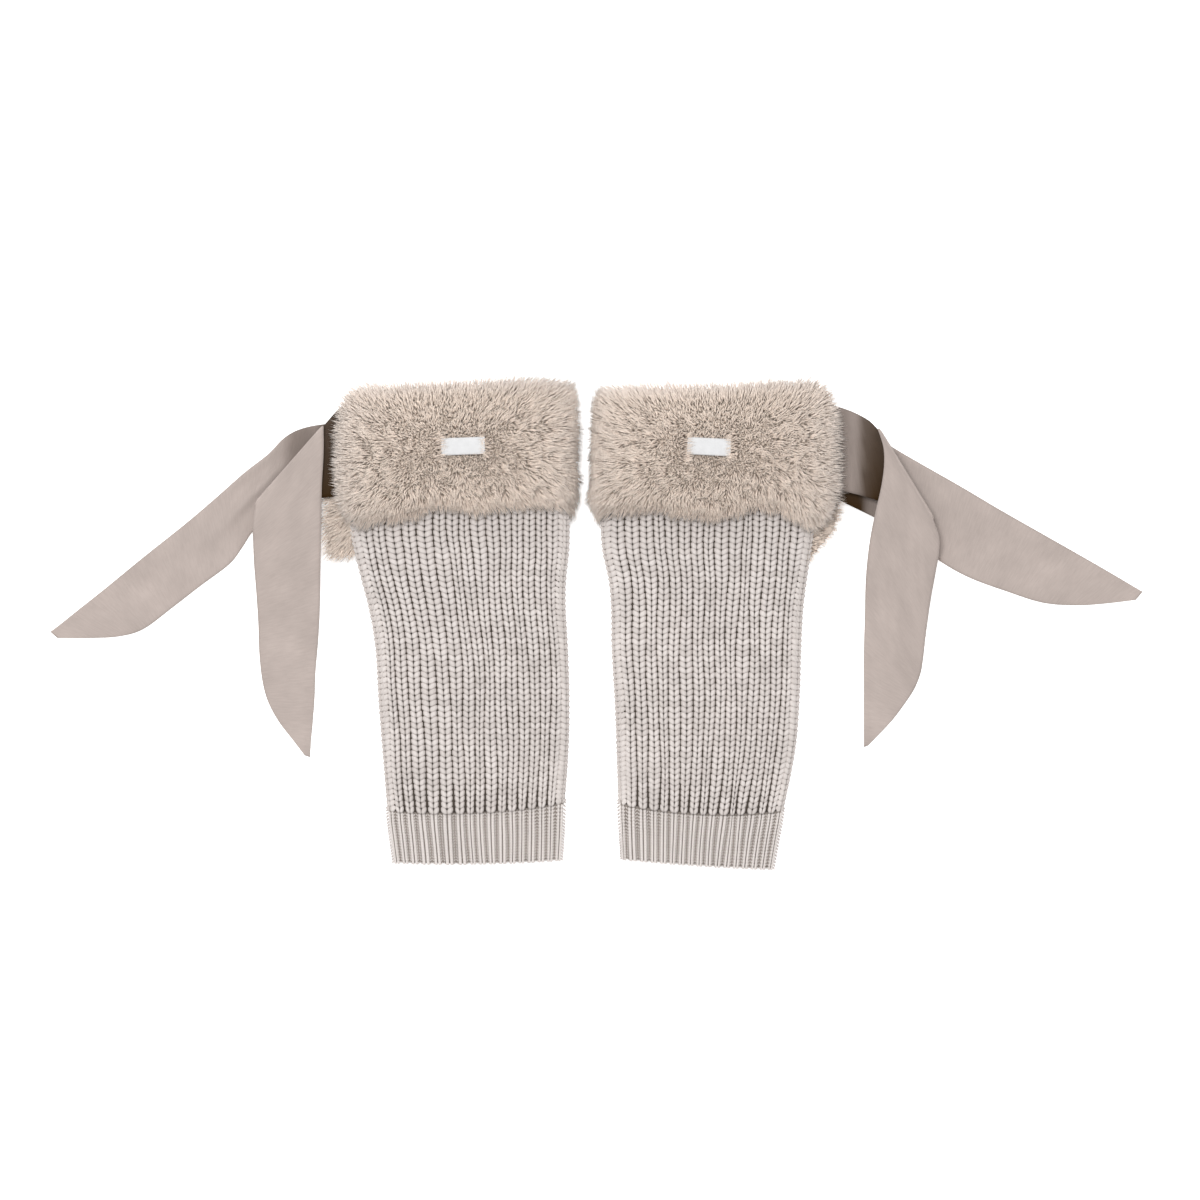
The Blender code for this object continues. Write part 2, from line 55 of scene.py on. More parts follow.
MM = 0.001
BODY = "root"
BAKE_MAP = "OFBake"
CLOTH_MAP = "cloth"
CELL_RIM = 0.08
VECTOR = "FLOAT_VECTOR"
FLOOR_GAP = 0.02
PILE_GAP = 0.05
COURSE_STEPS = 6
SHELL_CELLS = 24
SHELL_TURN = 6
RIBS = 17
WANDER = 11
Array = np.ndarray
Socket = bpy.types.NodeSocket
Node = bpy.types.Node
Tree = bpy.types.NodeTree
Material = bpy.types.Material
Mesh = bpy.types.Mesh
Thing = bpy.types.Object
Colour = tuple[float, float, float]


class Course(NamedTuple):
    """A course of the knit: its height at the left edge, middle and right edge, and its two edges."""

    y_left: float
    y_mid: float
    y_right: float
    x_left: float
    x_right: float


class CuffDrop(NamedTuple):
    """The cuff's outer edges and the reach of its fold, by the share of its drop."""

    drop: float
    x_front: float
    x_back: float
    x_fold: float


class CuffAcross(NamedTuple):
    """The top and the lower edge of each cuff panel, by the share of its width."""

    across: float
    y_front: float
    y_front_low: float
    y_back: float
    y_back_low: float


class SashRow(NamedTuple):
    """A section of a sash: the two edges of the cloth."""

    xa: float
    ya: float
    za: float
    xb: float
    yb: float
    zb: float


class Crease(NamedTuple):
    """A soft ridge (or trough, if its height is negative) between two places on a sash.

    A place is the share across the sash and the share along it.
    """

    across_from: float
    along_from: float
    across_to: float
    along_to: float
    height: float
    width: float


class Side(Enum):
    """Which way a leg warmer's opening faces."""

    LEFT = -1
    RIGHT = 1


class Panel(Enum):
    """The stretches of a cuff, round the knit."""

    FRONT = "front"
    FOLD = "fold"
    BACK = "back"


@dataclass(frozen=True)
class TabPlace:
    """Where a tab is sewn, in millimetres and degrees."""

    x: float
    y: float
    turn: float


@dataclass(frozen=True)
class LegTables:
    """All the sections of one leg warmer."""

    side: Side
    ribs: tuple[float, ...]
    leg: tuple[Course, ...]
    hem: tuple[Course, ...]
    cuff_drop: tuple[CuffDrop, ...]
    cuff_across: tuple[CuffAcross, ...]
    tab: TabPlace
    front_run: tuple[SashRow, ...]
    front_tail: tuple[SashRow, ...]
    rear_tail: tuple[SashRow, ...]
    front_creases: tuple[Crease, ...]
    rear_creases: tuple[Crease, ...]
    # Painted shade of the front tie's run and of the rear tie, by distance from the middle.
    run_dim: tuple[tuple[float, float], ...]
    rear_dim: tuple[tuple[float, float], ...]

    @property
    def name(self) -> str:
        """The prefix of this leg warmer's pieces."""
        return self.side.name.lower()

    @property
    def outward(self) -> int:
        """-1 where the opening faces -X, and +1 where it faces +X."""
        return self.side.value


def table(kind: Any, *rows: Sequence[float]) -> tuple[Any, ...]:
    """Rows of numbers as a table of one kind of row."""
    return tuple(kind(*map(float, row)) for row in rows)


LEFT = LegTables(
    side=Side.LEFT,
    ribs=(5.0, 5.4, 6.2, 7.2, 7.6, 7.6, 6.9, 5.9, 5.6, 6.2, 6.2, 6.0, 5.8, 5.9, 5.7, 5.5, 4.8),
    leg=table(
        Course,
        (127, 127.5, 127.5, -132, -17),
        (112, 112, 112, -134, -14.6),
        (80, 80, 80, -134.6, -14.4),
        (53, 53, 53, -135.4, -14.4),
        (39, 39, 39, -133.1, -14.8),
        (24, 24, 24, -129.5, -16.4),
        (7.5, 7.5, 7.5, -125.4, -16.6),
        (-14.5, -14.5, -14.5, -121.8, -15.4),
        (-42, -42, -42, -120.2, -14.6),
        (-70, -70, -70, -118, -15.1),
        (-102.9, -104, -98.5, -115.2, -17.3),
    ),
    hem=table(
        Course,
        (-100.4, -101.5, -96, -115.3, -17.2),
        (-103.2, -104.3, -98.8, -115.2, -17.3),
        (-109.5, -110, -106.5, -114.8, -17.5),
        (-118, -118.5, -116, -113.7, -17.9),
        (-131.6, -132.2, -130.2, -111.8, -18.9),
    ),
    cuff_drop=table(
        CuffDrop,
        (0, -141.5, -136, -9.2),
        (0.12, -143.8, -139.5, -8.5),
        (0.35, -145.3, -141, -8.1),
        (0.6, -145.8, -148.8, -8.3),
        (0.86, -145.6, -150, -8),
        (1, -142, -148.5, -9),
    ),
    cuff_across=table(
        CuffAcross,
        (0, 122.5, 62, 119, 38.5),
        (0.05, 127.8, 55, 124.5, 37),
        (0.12, 130.4, 53.5, 127.5, 37.5),
        (0.22, 132.2, 53, 129.5, 44),
        (0.32, 132.8, 56, 130.5, 48.5),
        (0.42, 133.2, 60.8, 131, 50),
        (0.52, 133.9, 60.4, 131.5, 50),
        (0.62, 134.2, 57.6, 131.5, 49.5),
        (0.75, 134.8, 60, 132, 50),
        (0.9, 135.4, 61.5, 132.5, 51.5),
        (1, 134, 60.5, 131, 54),
    ),
    tab=TabPlace(-72.9, 97.1, 2.0),
    front_run=table(
        SashRow,
        (-138, 121, 13.3, -138, 70, 13.3),
        (-144.5, 114.4, 13.3, -154.5, 68.5, 11.4),
        (-149.5, 108, 13.3, -187, 65.5, 7.6),
    ),
    front_tail=table(
        SashRow,
        (-149.5, 108, 16.4, -187, 65.5, 11.6),
        (-149.5, 92.5, 15.8, -188.5, 54.5, 10.6),
        (-150.5, 75, 14.2, -188.5, 44.5, 8.6),
        (-151, 54, 11, -188, 31.5, 5.8),
        (-151.5, 32, 7, -187, 17.5, 3.2),
        (-152, 10, 3.2, -186, 1, 1.2),
        (-153, -9, 1, -185.5, -15, 0.6),
        (-154.5, -26.5, 0.6, -184, -30, 0.6),
        (-155, -40.5, 0.6, -181, -42, 0.6),
        (-156, -54, 0.6, -175, -53.5, 0.6),
        (-157, -65, 0.6, -167, -64, 0.6),
        (-157.5, -73.5, 0.6, -160.5, -72.5, 0.6),
    ),
    rear_tail=table(
        SashRow,
        (-138, 109.5, 7.8, -138, 71, 7.8),
        (-149, 109.5, 7.8, -151, 69, 7.8),
        (-162, 107, 6.6, -167.5, 61.5, 5.6),
        (-171.5, 102, 5.2, -180.5, 56, 3.8),
        (-180.5, 93, 3.6, -189, 50.5, 2.2),
        (-193.5, 83, 2, -195, 41.5, 1),
        (-210, 68.5, 0.8, -202, 32.5, 0.6),
        (-226.5, 54.5, 0.6, -218, 20.5, 0.6),
        (-248.5, 37, 0.6, -233.5, 8.5, 0.6),
        (-270.5, 19, 0.6, -249, -3, 0.6),
        (-285, 7.5, 0.6, -262, -7, 0.6),
        (-295, -0.5, 0.6, -277.5, -8, 0.6),
        (-300.3, -4.5, 0.6, -296.5, -8, 0.6),
    ),
    front_creases=table(
        Crease,
        (0.35, 0.42, 0.6, 0.62, 1, 5),
        (0.75, 0.55, 0.85, 0.8, -0.7, 4),
        (0.3, 0.68, 0.22, 0.88, 0.7, 4),
        (0.5, 0.86, 0.95, 0.84, 0.6, 2.5),
    ),
    rear_creases=table(
        Crease,
        (0.45, 0.12, 0.42, 0.5, 2, 5),
        (0.2, 0.2, 0.25, 0.42, -1.3, 6),
        (0.7, 0.55, 0.55, 0.85, 0.8, 5),
    ),
    # Painted shade of the ties: pairs of distance from the middle and share.
    run_dim=((137.0, 1.0), (160.0, 1.0)),
    rear_dim=(
        (137.0, 0.95), (150.0, 0.85), (153.0, 0.5), (160.0, 0.62),
        (167.0, 0.6), (173.0, 0.22), (181.0, 0.0),
    ),
)

RIGHT = LegTables(
    side=Side.RIGHT,
    ribs=(4.8, 6.8, 6.8, 6.4, 5.7, 6.2, 6.5, 6.1, 5.6, 6.2, 6.1, 5.6, 6.1, 6.3, 5.7, 5.9, 4.8),
    leg=table(
        Course,
        (123.5, 124, 123.5, 4.5, 117.5),
        (108, 108, 108, 1.8, 120.5),
        (80, 80, 80, 1.6, 121),
        (53, 53, 53, 1.9, 119.8),
        (39, 39, 39, 3, 118),
        (24, 24, 24, 6.3, 115.8),
        (7.5, 7.5, 7.5, 7.7, 113.9),
        (-14.5, -14.5, -14.5, 8, 112.8),
        (-42, -42, -42, 9.6, 111.9),
        (-70, -70, -70, 10.7, 109.5),
        (-98.6, -104.6, -102.9, 11.8, 102.9),
    ),
    hem=table(
        Course,
        (-96.1, -102.1, -100.4, 11.7, 103.1),
        (-98.9, -104.9, -103.2, 11.8, 102.9),
        (-106, -110.5, -109.5, 12, 102),
        (-116, -119, -119, 12.6, 100.2),
        (-129.6, -133.2, -135.3, 13.5, 97.4),
    ),
    cuff_drop=table(
        CuffDrop,
        (0, 132.5, 128, -3.2),
        (0.12, 134.8, 131, -4.4),
        (0.35, 135.6, 133, -5.2),
        (0.65, 136, 134.5, -5.6),
        (0.86, 135, 134.6, -6.4),
        (1, 131.5, 132, -3.6),
    ),
    cuff_across=table(
        CuffAcross,
        (0, 123, 60.5, 117.5, 51),
        (0.05, 130.4, 54.2, 125.5, 43.5),
        (0.1, 132.6, 53, 128.5, 34.5),
        (0.16, 133.6, 55.3, 130, 28.8),
        (0.24, 134.4, 58.4, 131, 37),
        (0.32, 133.4, 60.2, 130.5, 46),
        (0.44, 132.6, 57, 129.5, 49),
        (0.52, 132.3, 54.4, 129, 50),
        (0.66, 132.2, 55.8, 128.5, 50),
        (0.82, 131.6, 59.7, 128, 50),
        (1, 131, 57.5, 127, 52),
    ),
    tab=TabPlace(61.6, 96.8, -3.0),
    front_run=table(
        SashRow,
        (128.5, 120, 13.3, 128.5, 74, 13.3),
        (139.5, 116.5, 13.3, 144, 70.5, 12.6),
        (149, 111.5, 13.4, 167, 63.5, 10.8),
        (154, 106.5, 13.4, 184.5, 57.5, 8.4),
    ),
    front_tail=table(
        SashRow,
        (154, 106.5, 18.4, 184.5, 57.5, 12.6),
        (157, 97, 18, 188, 47.5, 11),
        (157.5, 87, 17, 188, 39, 8.6),
        (156, 75, 15.2, 186, 26.5, 5.4),
        (153, 61.5, 12.4, 183.5, 12, 2.8),
        (150, 45.5, 8.4, 181, -6.5, 1),
        (148, 25.5, 4.4, 179.5, -20, 0.6),
        (147.5, 3.5, 1.4, 178, -28, 0.6),
        (147, -15.5, 0.6, 174.5, -36.5, 0.6),
        (147, -34.5, 0.6, 168.5, -45.5, 0.6),
        (147, -51.5, 0.6, 161.5, -54.5, 0.6),
        (147, -68, 0.6, 149.5, -67, 0.6),
    ),
    rear_tail=table(
        SashRow,
        (128.5, 116.5, 7.8, 128.5, 70.5, 7.8),
        (138.5, 112, 7.8, 137, 65.8, 7.8),
        (151.5, 104, 6.8, 147, 61, 6.6),
        (164, 96, 5.4, 158.5, 55.2, 5),
        (180.5, 86.5, 3.6, 173.5, 46, 3),
        (200, 75.5, 1.8, 190, 33.5, 1.2),
        (222, 62.5, 0.7, 205.5, 25, 0.6),
        (244, 50, 0.6, 224.5, 18, 0.6),
        (266, 37.5, 0.6, 245, 11.5, 0.6),
        (282.5, 28, 0.6, 263.5, 10, 0.6),
        (293.5, 21.5, 0.6, 280, 11, 0.6),
        (300.3, 17.5, 0.6, 296.5, 13, 0.6),
    ),
    front_creases=table(
        Crease,
        (0.3, 0.3, 0.45, 0.55, 1, 5),
        (0.7, 0.36, 0.8, 0.5, -0.8, 5),
        (0.55, 0.62, 0.5, 0.85, 0.6, 4),
    ),
    rear_creases=table(
        Crease,
        (0.6, 0.3, 0.5, 0.75, 1, 6),
        (0.3, 0.45, 0.35, 0.7, -0.8, 5),
    ),
    # Painted shade of the ties: pairs of distance from the middle and share.
    run_dim=((132.0, 0.5), (137.0, 0.55), (140.0, 0.42), (143.0, 0.5), (146.5, 0.9), (153.0, 1.0)),
    rear_dim=((137.0, 1.0), (145.0, 1.0), (149.0, 0.6), (154.0, 0.4), (160.0, 0.2), (172.0, 0.0)),
)


def ease(share: Array) -> Array:
    """A share kept between 0 and 1, with a gentle start and end.

    Args:
        share: the shares.

    Returns:
        The eased shares.
    """
    share = np.clip(share, 0.0, 1.0)
    return share * share * (3.0 - 2.0 * share)


def round_over(distance: Array, reach: float) -> Array:
    """0 at an edge and 1 from its reach inwards, rising as a quarter circle.

    Args:
        distance: how far inside the edge each point is.
        reach: where the rise ends.

    Returns:
        The rise of each point.
    """
    share = np.clip(distance / reach, 0.0, 1.0)
    return np.sqrt(1.0 - (1.0 - share) ** 2)


def mix(start: Array, end: Array, share: Array) -> Array:
    """The values a share of the way from start to end."""
    return start + (end - start) * share


def read(table: Sequence[tuple], column: str, at: Array) -> Array:
    """A column's values at places on the table's first column, eased between rows.

    Args:
        table: rows of one kind, in the order of their first column.
        column: the name of the column to read.
        at: places on the first column.

    Returns:
        One value for each place.
    """
    keys = np.array([row[0] for row in table])
    values = np.array([getattr(row, column) for row in table])
    row = np.clip(np.searchsorted(keys, at, side="left") - 1, 0, len(keys) - 2)
    return mix(values[row], values[row + 1], ease((at - keys[row]) / (keys[row + 1] - keys[row])))


def smooth_rows(rows: Sequence[tuple], steps: int) -> Array:
    """The rows with steps - 1 more between each two, on a curve through them all.

    Args:
        rows: the sections.
        steps: how many steps there are between two sections.

    Returns:
        An array with a row for each section.
    """
    knots = np.array(rows, float)
    padded = np.vstack([knots[:1], knots, knots[-1:]])
    share = (np.arange(steps) / steps)[:, None]
    fine = []
    for a, b, c, d in zip(padded, padded[1:], padded[2:], padded[3:]):
        bend = (2 * a - 5 * b + 4 * c - d) * share**2
        twist = (3 * b - a - 3 * c + d) * share**3
        fine.append(0.5 * (2 * b + (c - a) * share + bend + twist))
    return np.vstack([*fine, knots[-1:]])


def unit(vectors: Array) -> Array:
    """The vectors with a length of 1."""
    return vectors / np.maximum(np.linalg.norm(vectors, axis=-1, keepdims=True), 1e-9)


def grid_normals(points: Array) -> Array:
    """The normals of a grid of points, from its neighbours.

    Args:
        points: an array of rows by columns by 3.

    Returns:
        An array of the same shape.
    """
    return unit(np.cross(np.gradient(points, axis=0), np.gradient(points, axis=1)))


def new_mesh(name: str, points: Array, faces: Sequence[Sequence[int]]) -> Mesh:
    """A smooth mesh in metres, from points in millimetres.

    Args:
        name: the mesh's name.
        points: the points, in millimetres.
        faces: the corners of each face.

    Returns:
        The mesh.
    """
    mesh = bpy.data.meshes.new(name)
    mesh.from_pydata((points * MM).tolist(), [], [list(face) for face in faces])
    mesh.update()
    if faces:
        mesh.shade_smooth()
    return mesh


def new_object(name: str, mesh: Mesh, finish: Material) -> Thing:
    """An object at the origin, in its finish."""
    thing = bpy.data.objects.new(name, mesh)
    bpy.context.scene.collection.objects.link(thing)
    mesh.materials.clear()
    mesh.materials.append(finish)
    return thing


def add_attribute(mesh: Mesh, name: str, values: Array) -> None:
    """Store a number or a vector for each point of a mesh.

    Args:
        mesh: the mesh.
        name: the attribute's name.
        values: one number or one vector for each point.
    """
    vector = values.ndim == 2
    layer = mesh.attributes.new(name, "FLOAT_VECTOR" if vector else "FLOAT", "POINT")
    layer.data.foreach_set("vector" if vector else "value", values.astype(np.float32).ravel())


def add_cloth_map(mesh: Mesh, flat: Array) -> None:
    """Give a mesh a map in metres of flat cloth.

    Args:
        mesh: the mesh.
        flat: for each point, its place on the flat cloth, in millimetres.
    """
    corners = np.zeros(len(mesh.loops), np.int32)
    mesh.loops.foreach_get("vertex_index", corners)
    layer = mesh.uv_layers.new(name=CLOTH_MAP)
    layer.data.foreach_set("uv", (flat[corners] * MM).astype(np.float32).ravel())


def grid_faces(rows: int, columns: int, start: int = 0, wrap: bool = False) -> list[tuple[int, ...]]:
    """The faces of a grid of points.

    Args:
        rows: how many rows of points there are.
        columns: how many points a row has.
        start: the number of the first point.
        wrap: whether each row is a ring.

    Returns:
        The corners of each face.
    """
    faces = []
    for row in range(rows - 1):
        for column in range(columns if wrap else columns - 1):
            after = (column + 1) % columns
            here = start + row * columns
            there = here + columns
            faces.append((here + column, here + after, there + after, there + column))
    return faces


def closed_sheet(name: str, outer: Array, inner: Array) -> Mesh:
    """A thick sheet between two grids of points, closed round its edges.

    Args:
        name: the mesh's name.
        outer: the grid on the side that the normals leave.
        inner: the grid on the other side.

    Returns:
        The mesh, with its outer grid's points first.
    """
    rows, columns = outer.shape[:2]
    count = rows * columns
    faces = grid_faces(rows, columns)
    faces += [tuple(reversed(face)) for face in grid_faces(rows, columns, count)]
    rim = [(row, 0) for row in range(rows)]
    rim += [(rows - 1, column) for column in range(1, columns)]
    rim += [(row, columns - 1) for row in range(rows - 2, -1, -1)]
    rim += [(0, column) for column in range(columns - 2, 0, -1)]
    order = [row * columns + column for row, column in rim]
    for here, there in zip(order, order[1:] + order[:1]):
        faces.append((here, there, there + count, here + count))
    points = np.concatenate([outer.reshape(-1, 3), inner.reshape(-1, 3)])
    mesh = new_mesh(name, points, faces)
    turn_out(mesh)
    return mesh


def turn_out(mesh: Mesh) -> None:
    """Turn a closed mesh's faces out, if they point in."""
    volume = 0.0
    for face in mesh.polygons:
        corners = [mesh.vertices[index].co for index in face.vertices]
        for second, third in zip(corners[1:], corners[2:]):
            volume += corners[0].dot(second.cross(third))
    if volume < 0.0:
        mesh.flip_normals()


def feed(tree: Tree, socket: Socket, value: Any) -> None:
    """Link a socket to another one, or give it a plain value."""
    if isinstance(value, Socket):
        tree.links.new(value, socket)
    elif socket.type == "RGBA":
        socket.default_value = (*value, 1.0)
    else:
        socket.default_value = value


class Wiring:
    """A few words for building a tree of nodes."""

    def __init__(self, tree: Tree) -> None:
        """Keep the tree that the nodes go in."""
        self.tree = tree

    def node(self, kind: str, inputs: dict[Any, Any] | None = None, **settings: Any) -> Node:
        """Add a node.

        Args:
            kind: the node's type.
            inputs: values or sockets, by the input's name or number.
            settings: the node's own settings.

        Returns:
            The node.
        """
        made = self.tree.nodes.new(kind)
        for key, value in settings.items():
            setattr(made, key, value)
        for key, value in (inputs or {}).items():
            feed(self.tree, made.inputs[key], value)
        return made

    def maths(self, operation: str, result: Any, *others: Any) -> Socket:
        """An operation run over numbers, from the first to the last."""
        for other in others:
            result = self.node("ShaderNodeMath", {0: result, 1: other}, operation=operation).outputs[0]
        return result

    def times(self, *values: Any) -> Socket:
        """The product of several numbers."""
        return self.maths("MULTIPLY", *values)

    def plus(self, *values: Any) -> Socket:
        """The sum of several numbers."""
        return self.maths("ADD", *values)

    def less(self, *values: Any) -> Socket:
        """The first number without the others."""
        return self.maths("SUBTRACT", *values)

    def vector(self, operation: str, *values: Any) -> Socket:
        """An operation on vectors, which gives a vector, or a number for a dot product."""
        made = self.node("ShaderNodeVectorMath", dict(enumerate(values)), operation=operation)
        return made.outputs["Value" if operation == "DOT_PRODUCT" else "Vector"]

    def scaled(self, vector: Any, scale: Any) -> Socket:
        """A vector times a number."""
        inputs = {"Vector": vector, "Scale": scale}
        return self.node("ShaderNodeVectorMath", inputs, operation="SCALE").outputs[0]

    def total(self, result: Any, *vectors: Any) -> Socket:
        """The sum of several vectors."""
        for vector in vectors:
            result = self.vector("ADD", result, vector)
        return result

    def across(self, vector: Any, normal: Any) -> Socket:
        """The part of a vector that lies across a normal."""
        out = self.scaled(normal, self.vector("DOT_PRODUCT", vector, normal))
        return self.vector("SUBTRACT", vector, out)

    def parts(self, vector: Any) -> tuple[Socket, ...]:
        """The three numbers of a vector."""
        return tuple(self.node("ShaderNodeSeparateXYZ", {0: vector}).outputs)


class Group(Wiring):
    """A tree with named inputs and outputs of its own."""

    def __init__(self, name: str, kind: str) -> None:
        """Start an empty tree of a kind."""
        super().__init__(bpy.data.node_groups.new(name, kind))
        self.start = self.tree.nodes.new("NodeGroupInput")
        self.last = self.tree.nodes.new("NodeGroupOutput")

    def size(self, name: str, value: Any = None, kind: str = "Float") -> Socket:
        """A named input of the tree.

        Args:
            name: the input's name.
            value: its value to start with, if it has one.
            kind: Float, Int, Vector, Material or Geometry.

        Returns:
            The socket that gives it.
        """
        made = self.tree.interface.new_socket(name, in_out="INPUT", socket_type="NodeSocket" + kind)
        if value is not None:
            made.default_value = value
        return self.start.outputs[name]

    def give(self, name: str, value: Socket, kind: str = "Float") -> None:
        """Put a value out of the tree under a name."""
        self.tree.interface.new_socket(name, in_out="OUTPUT", socket_type="NodeSocket" + kind)
        self.tree.links.new(value, self.last.inputs[name])


class Grower(Group):
    """A Geometry Nodes tree that repeats one small shape over a carrier mesh."""

    def __init__(self, name: str, sizes: dict[str, Any]) -> None:
        """Start a tree with inputs for the carrier, the finish and the shape's sizes.

        Args:
            name: the tree's name.
            sizes: the name and the first value of each size.
        """
        super().__init__(name, "GeometryNodeTree")
        self.carrier = self.size("carrier", None, "Geometry")
        self.finish = self.size("finish", None, "Material")
        for key, value in sizes.items():
            self.size(key, value, "Int" if isinstance(value, int) else "Float")
        self.sizes = self.start.outputs
        self.where = self.node("GeometryNodeInputPosition").outputs[0]

    def named(self, name: str, kind: str = "FLOAT") -> Socket:
        """The value of a stored attribute."""
        made = self.node("GeometryNodeInputNamedAttribute", {"Name": name}, data_type=kind)
        return made.outputs["Attribute"]

    def keep(self, geometry: Any, name: str, value: Any, kind: str = "FLOAT", domain: str = "POINT") -> Any:
        """Store a value on a geometry under a name."""
        inputs = {"Geometry": geometry, "Name": name, "Value": value}
        return self.node("GeometryNodeStoreNamedAttribute", inputs, data_type=kind, domain=domain).outputs[0]

    def mapped(self, shape: Node) -> Any:
        """The small shape that a node makes, with its own map kept for the bake."""
        return self.keep(shape.outputs["Mesh"], BAKE_MAP, shape.outputs["UV Map"], "FLOAT2", "CORNER")

    def repeat(self, points: Any, shape: Any) -> Any:
        """The shape at each point, as one realized mesh."""
        many = self.node("GeometryNodeInstanceOnPoints", {"Points": points, "Instance": shape})
        return self.node("GeometryNodeRealizeInstances", {0: many.outputs[0]}).outputs[0]

    def end(self, geometry: Any, place: Any) -> None:
        """Place the realized points, dress the mesh and close the tree."""
        placed = self.node("GeometryNodeSetPosition", {"Geometry": geometry, "Position": place})
        smooth = self.node("GeometryNodeSetShadeSmooth", {0: placed.outputs[0]})
        dressed = self.node("GeometryNodeSetMaterial", {0: smooth.outputs[0], "Material": self.finish})
        self.give("Geometry", dressed.outputs[0], "Geometry")

    def grow(self, name: str, carrier: Mesh, finish: Material, sizes: dict[str, Any]) -> Thing:
        """Run the tree on a carrier mesh and keep the result as a plain mesh.

        Args:
            name: the new object's name.
            carrier: the mesh that carries the points and their attributes.
            finish: the material.
            sizes: the shape's sizes, by name.

        Returns:
            An object with the finished mesh and no modifier.
        """
        thing = bpy.data.objects.new(name, carrier)
        bpy.context.scene.collection.objects.link(thing)
        modifier = thing.modifiers.new("grow", "NODES")
        modifier.node_group = self.tree
        values = {"finish": finish, **sizes}
        for item in self.tree.interface.items_tree:
            if item.in_out == "INPUT" and item.name in values:
                modifier[item.identifier] = values[item.name]
        graph = bpy.context.evaluated_depsgraph_get()
        evaluated = thing.evaluated_get(graph)
        mesh = bpy.data.meshes.new_from_object(evaluated, preserve_all_data_layers=True, depsgraph=graph)
        thing.modifiers.clear()
        thing.data = mesh
        mesh.name = name
        mesh.materials.clear()
        mesh.materials.append(finish)
        return thing


def tidy_grown(thing: Thing, kept: Sequence[str], loops_each: int) -> None:
    """Drop a grown mesh's working attributes and give each shape its own cell of the bake map.

    Args:
        thing: the grown object.
        kept: the names of the attributes that its finish reads.
        loops_each: how many face corners one repeated shape has.
    """
    mesh = thing.data
    own = {BAKE_MAP, "position", *kept}
    spare = [a.name for a in mesh.attributes if a.name not in own and not a.is_internal and not a.is_required]
    for name in spare:
        mesh.attributes.remove(mesh.attributes[name])
    layer = mesh.uv_layers[BAKE_MAP]
    corners = np.zeros(len(mesh.loops) * 2, np.float32)
    layer.data.foreach_get("uv", corners)
    across = math.ceil(math.sqrt(len(mesh.loops) // loops_each))
    cell = np.arange(len(mesh.loops)) // loops_each
    base = np.stack([cell % across, cell // across], axis=1)
    corners = (base + CELL_RIM + (1.0 - 2.0 * CELL_RIM) * corners.reshape(-1, 2)) / across
    layer.data.foreach_set("uv", corners.astype(np.float32).ravel())
    layer.active_render = True


def rest_on_floor(thing: Thing, least: float) -> None:
    """Flatten what would reach under the surface that the pair lies on.

    Args:
        thing: the object.
        least: the lowest height that a point may have, in millimetres.
    """
    points = np.zeros(len(thing.data.vertices) * 3, np.float32)
    thing.data.vertices.foreach_get("co", points)
    points = points.reshape(-1, 3)
    points[:, 2] = np.maximum(points[:, 2], least * MM)
    thing.data.vertices.foreach_set("co", points.ravel())
    thing.data.update()


class Effects:
    """The shader effects that several materials share, each a node group."""

    def __init__(self) -> None:
        """Build the groups."""
        self.mottle = self.make_mottle()
        self.threads = self.make_threads()

    def make_mottle(self) -> Tree:
        """Soft uneven spots, from Darkest to 1, with a pitch in metres."""
        group = Group("soft_mottle", "ShaderNodeTree")
        place = group.size("Place", None, "Vector")
        pitch = group.size("Pitch", 0.01)
        darkest = group.size("Darkest", 0.8)
        spots = group.node("ShaderNodeTexNoise", {
            "Vector": place, "Scale": group.maths("DIVIDE", 1.0, pitch), "Detail": 2.0})
        shade = group.node("ShaderNodeMapRange", {0: spots.outputs[0], 1: 0.3, 2: 0.7, 3: darkest, 4: 1.0})
        group.give("Shade", shade.outputs[0])
        return group.tree

    def make_threads(self) -> Tree:
        """A plain weave on a flat map in metres: how high its threads stand."""
        group = Group("woven_threads", "ShaderNodeTree")
        place = group.size("Place", None, "Vector")
        pitch = group.size("Pitch", 0.0004)
        inputs = {"Vector": place, "Scale": group.maths("DIVIDE", 0.5 / math.pi, pitch)}
        waves = [group.node("ShaderNodeTexWave", inputs, bands_direction=way).outputs["Fac"] for way in "XY"]
        group.give("Height", group.times(*waves))
        return group.tree


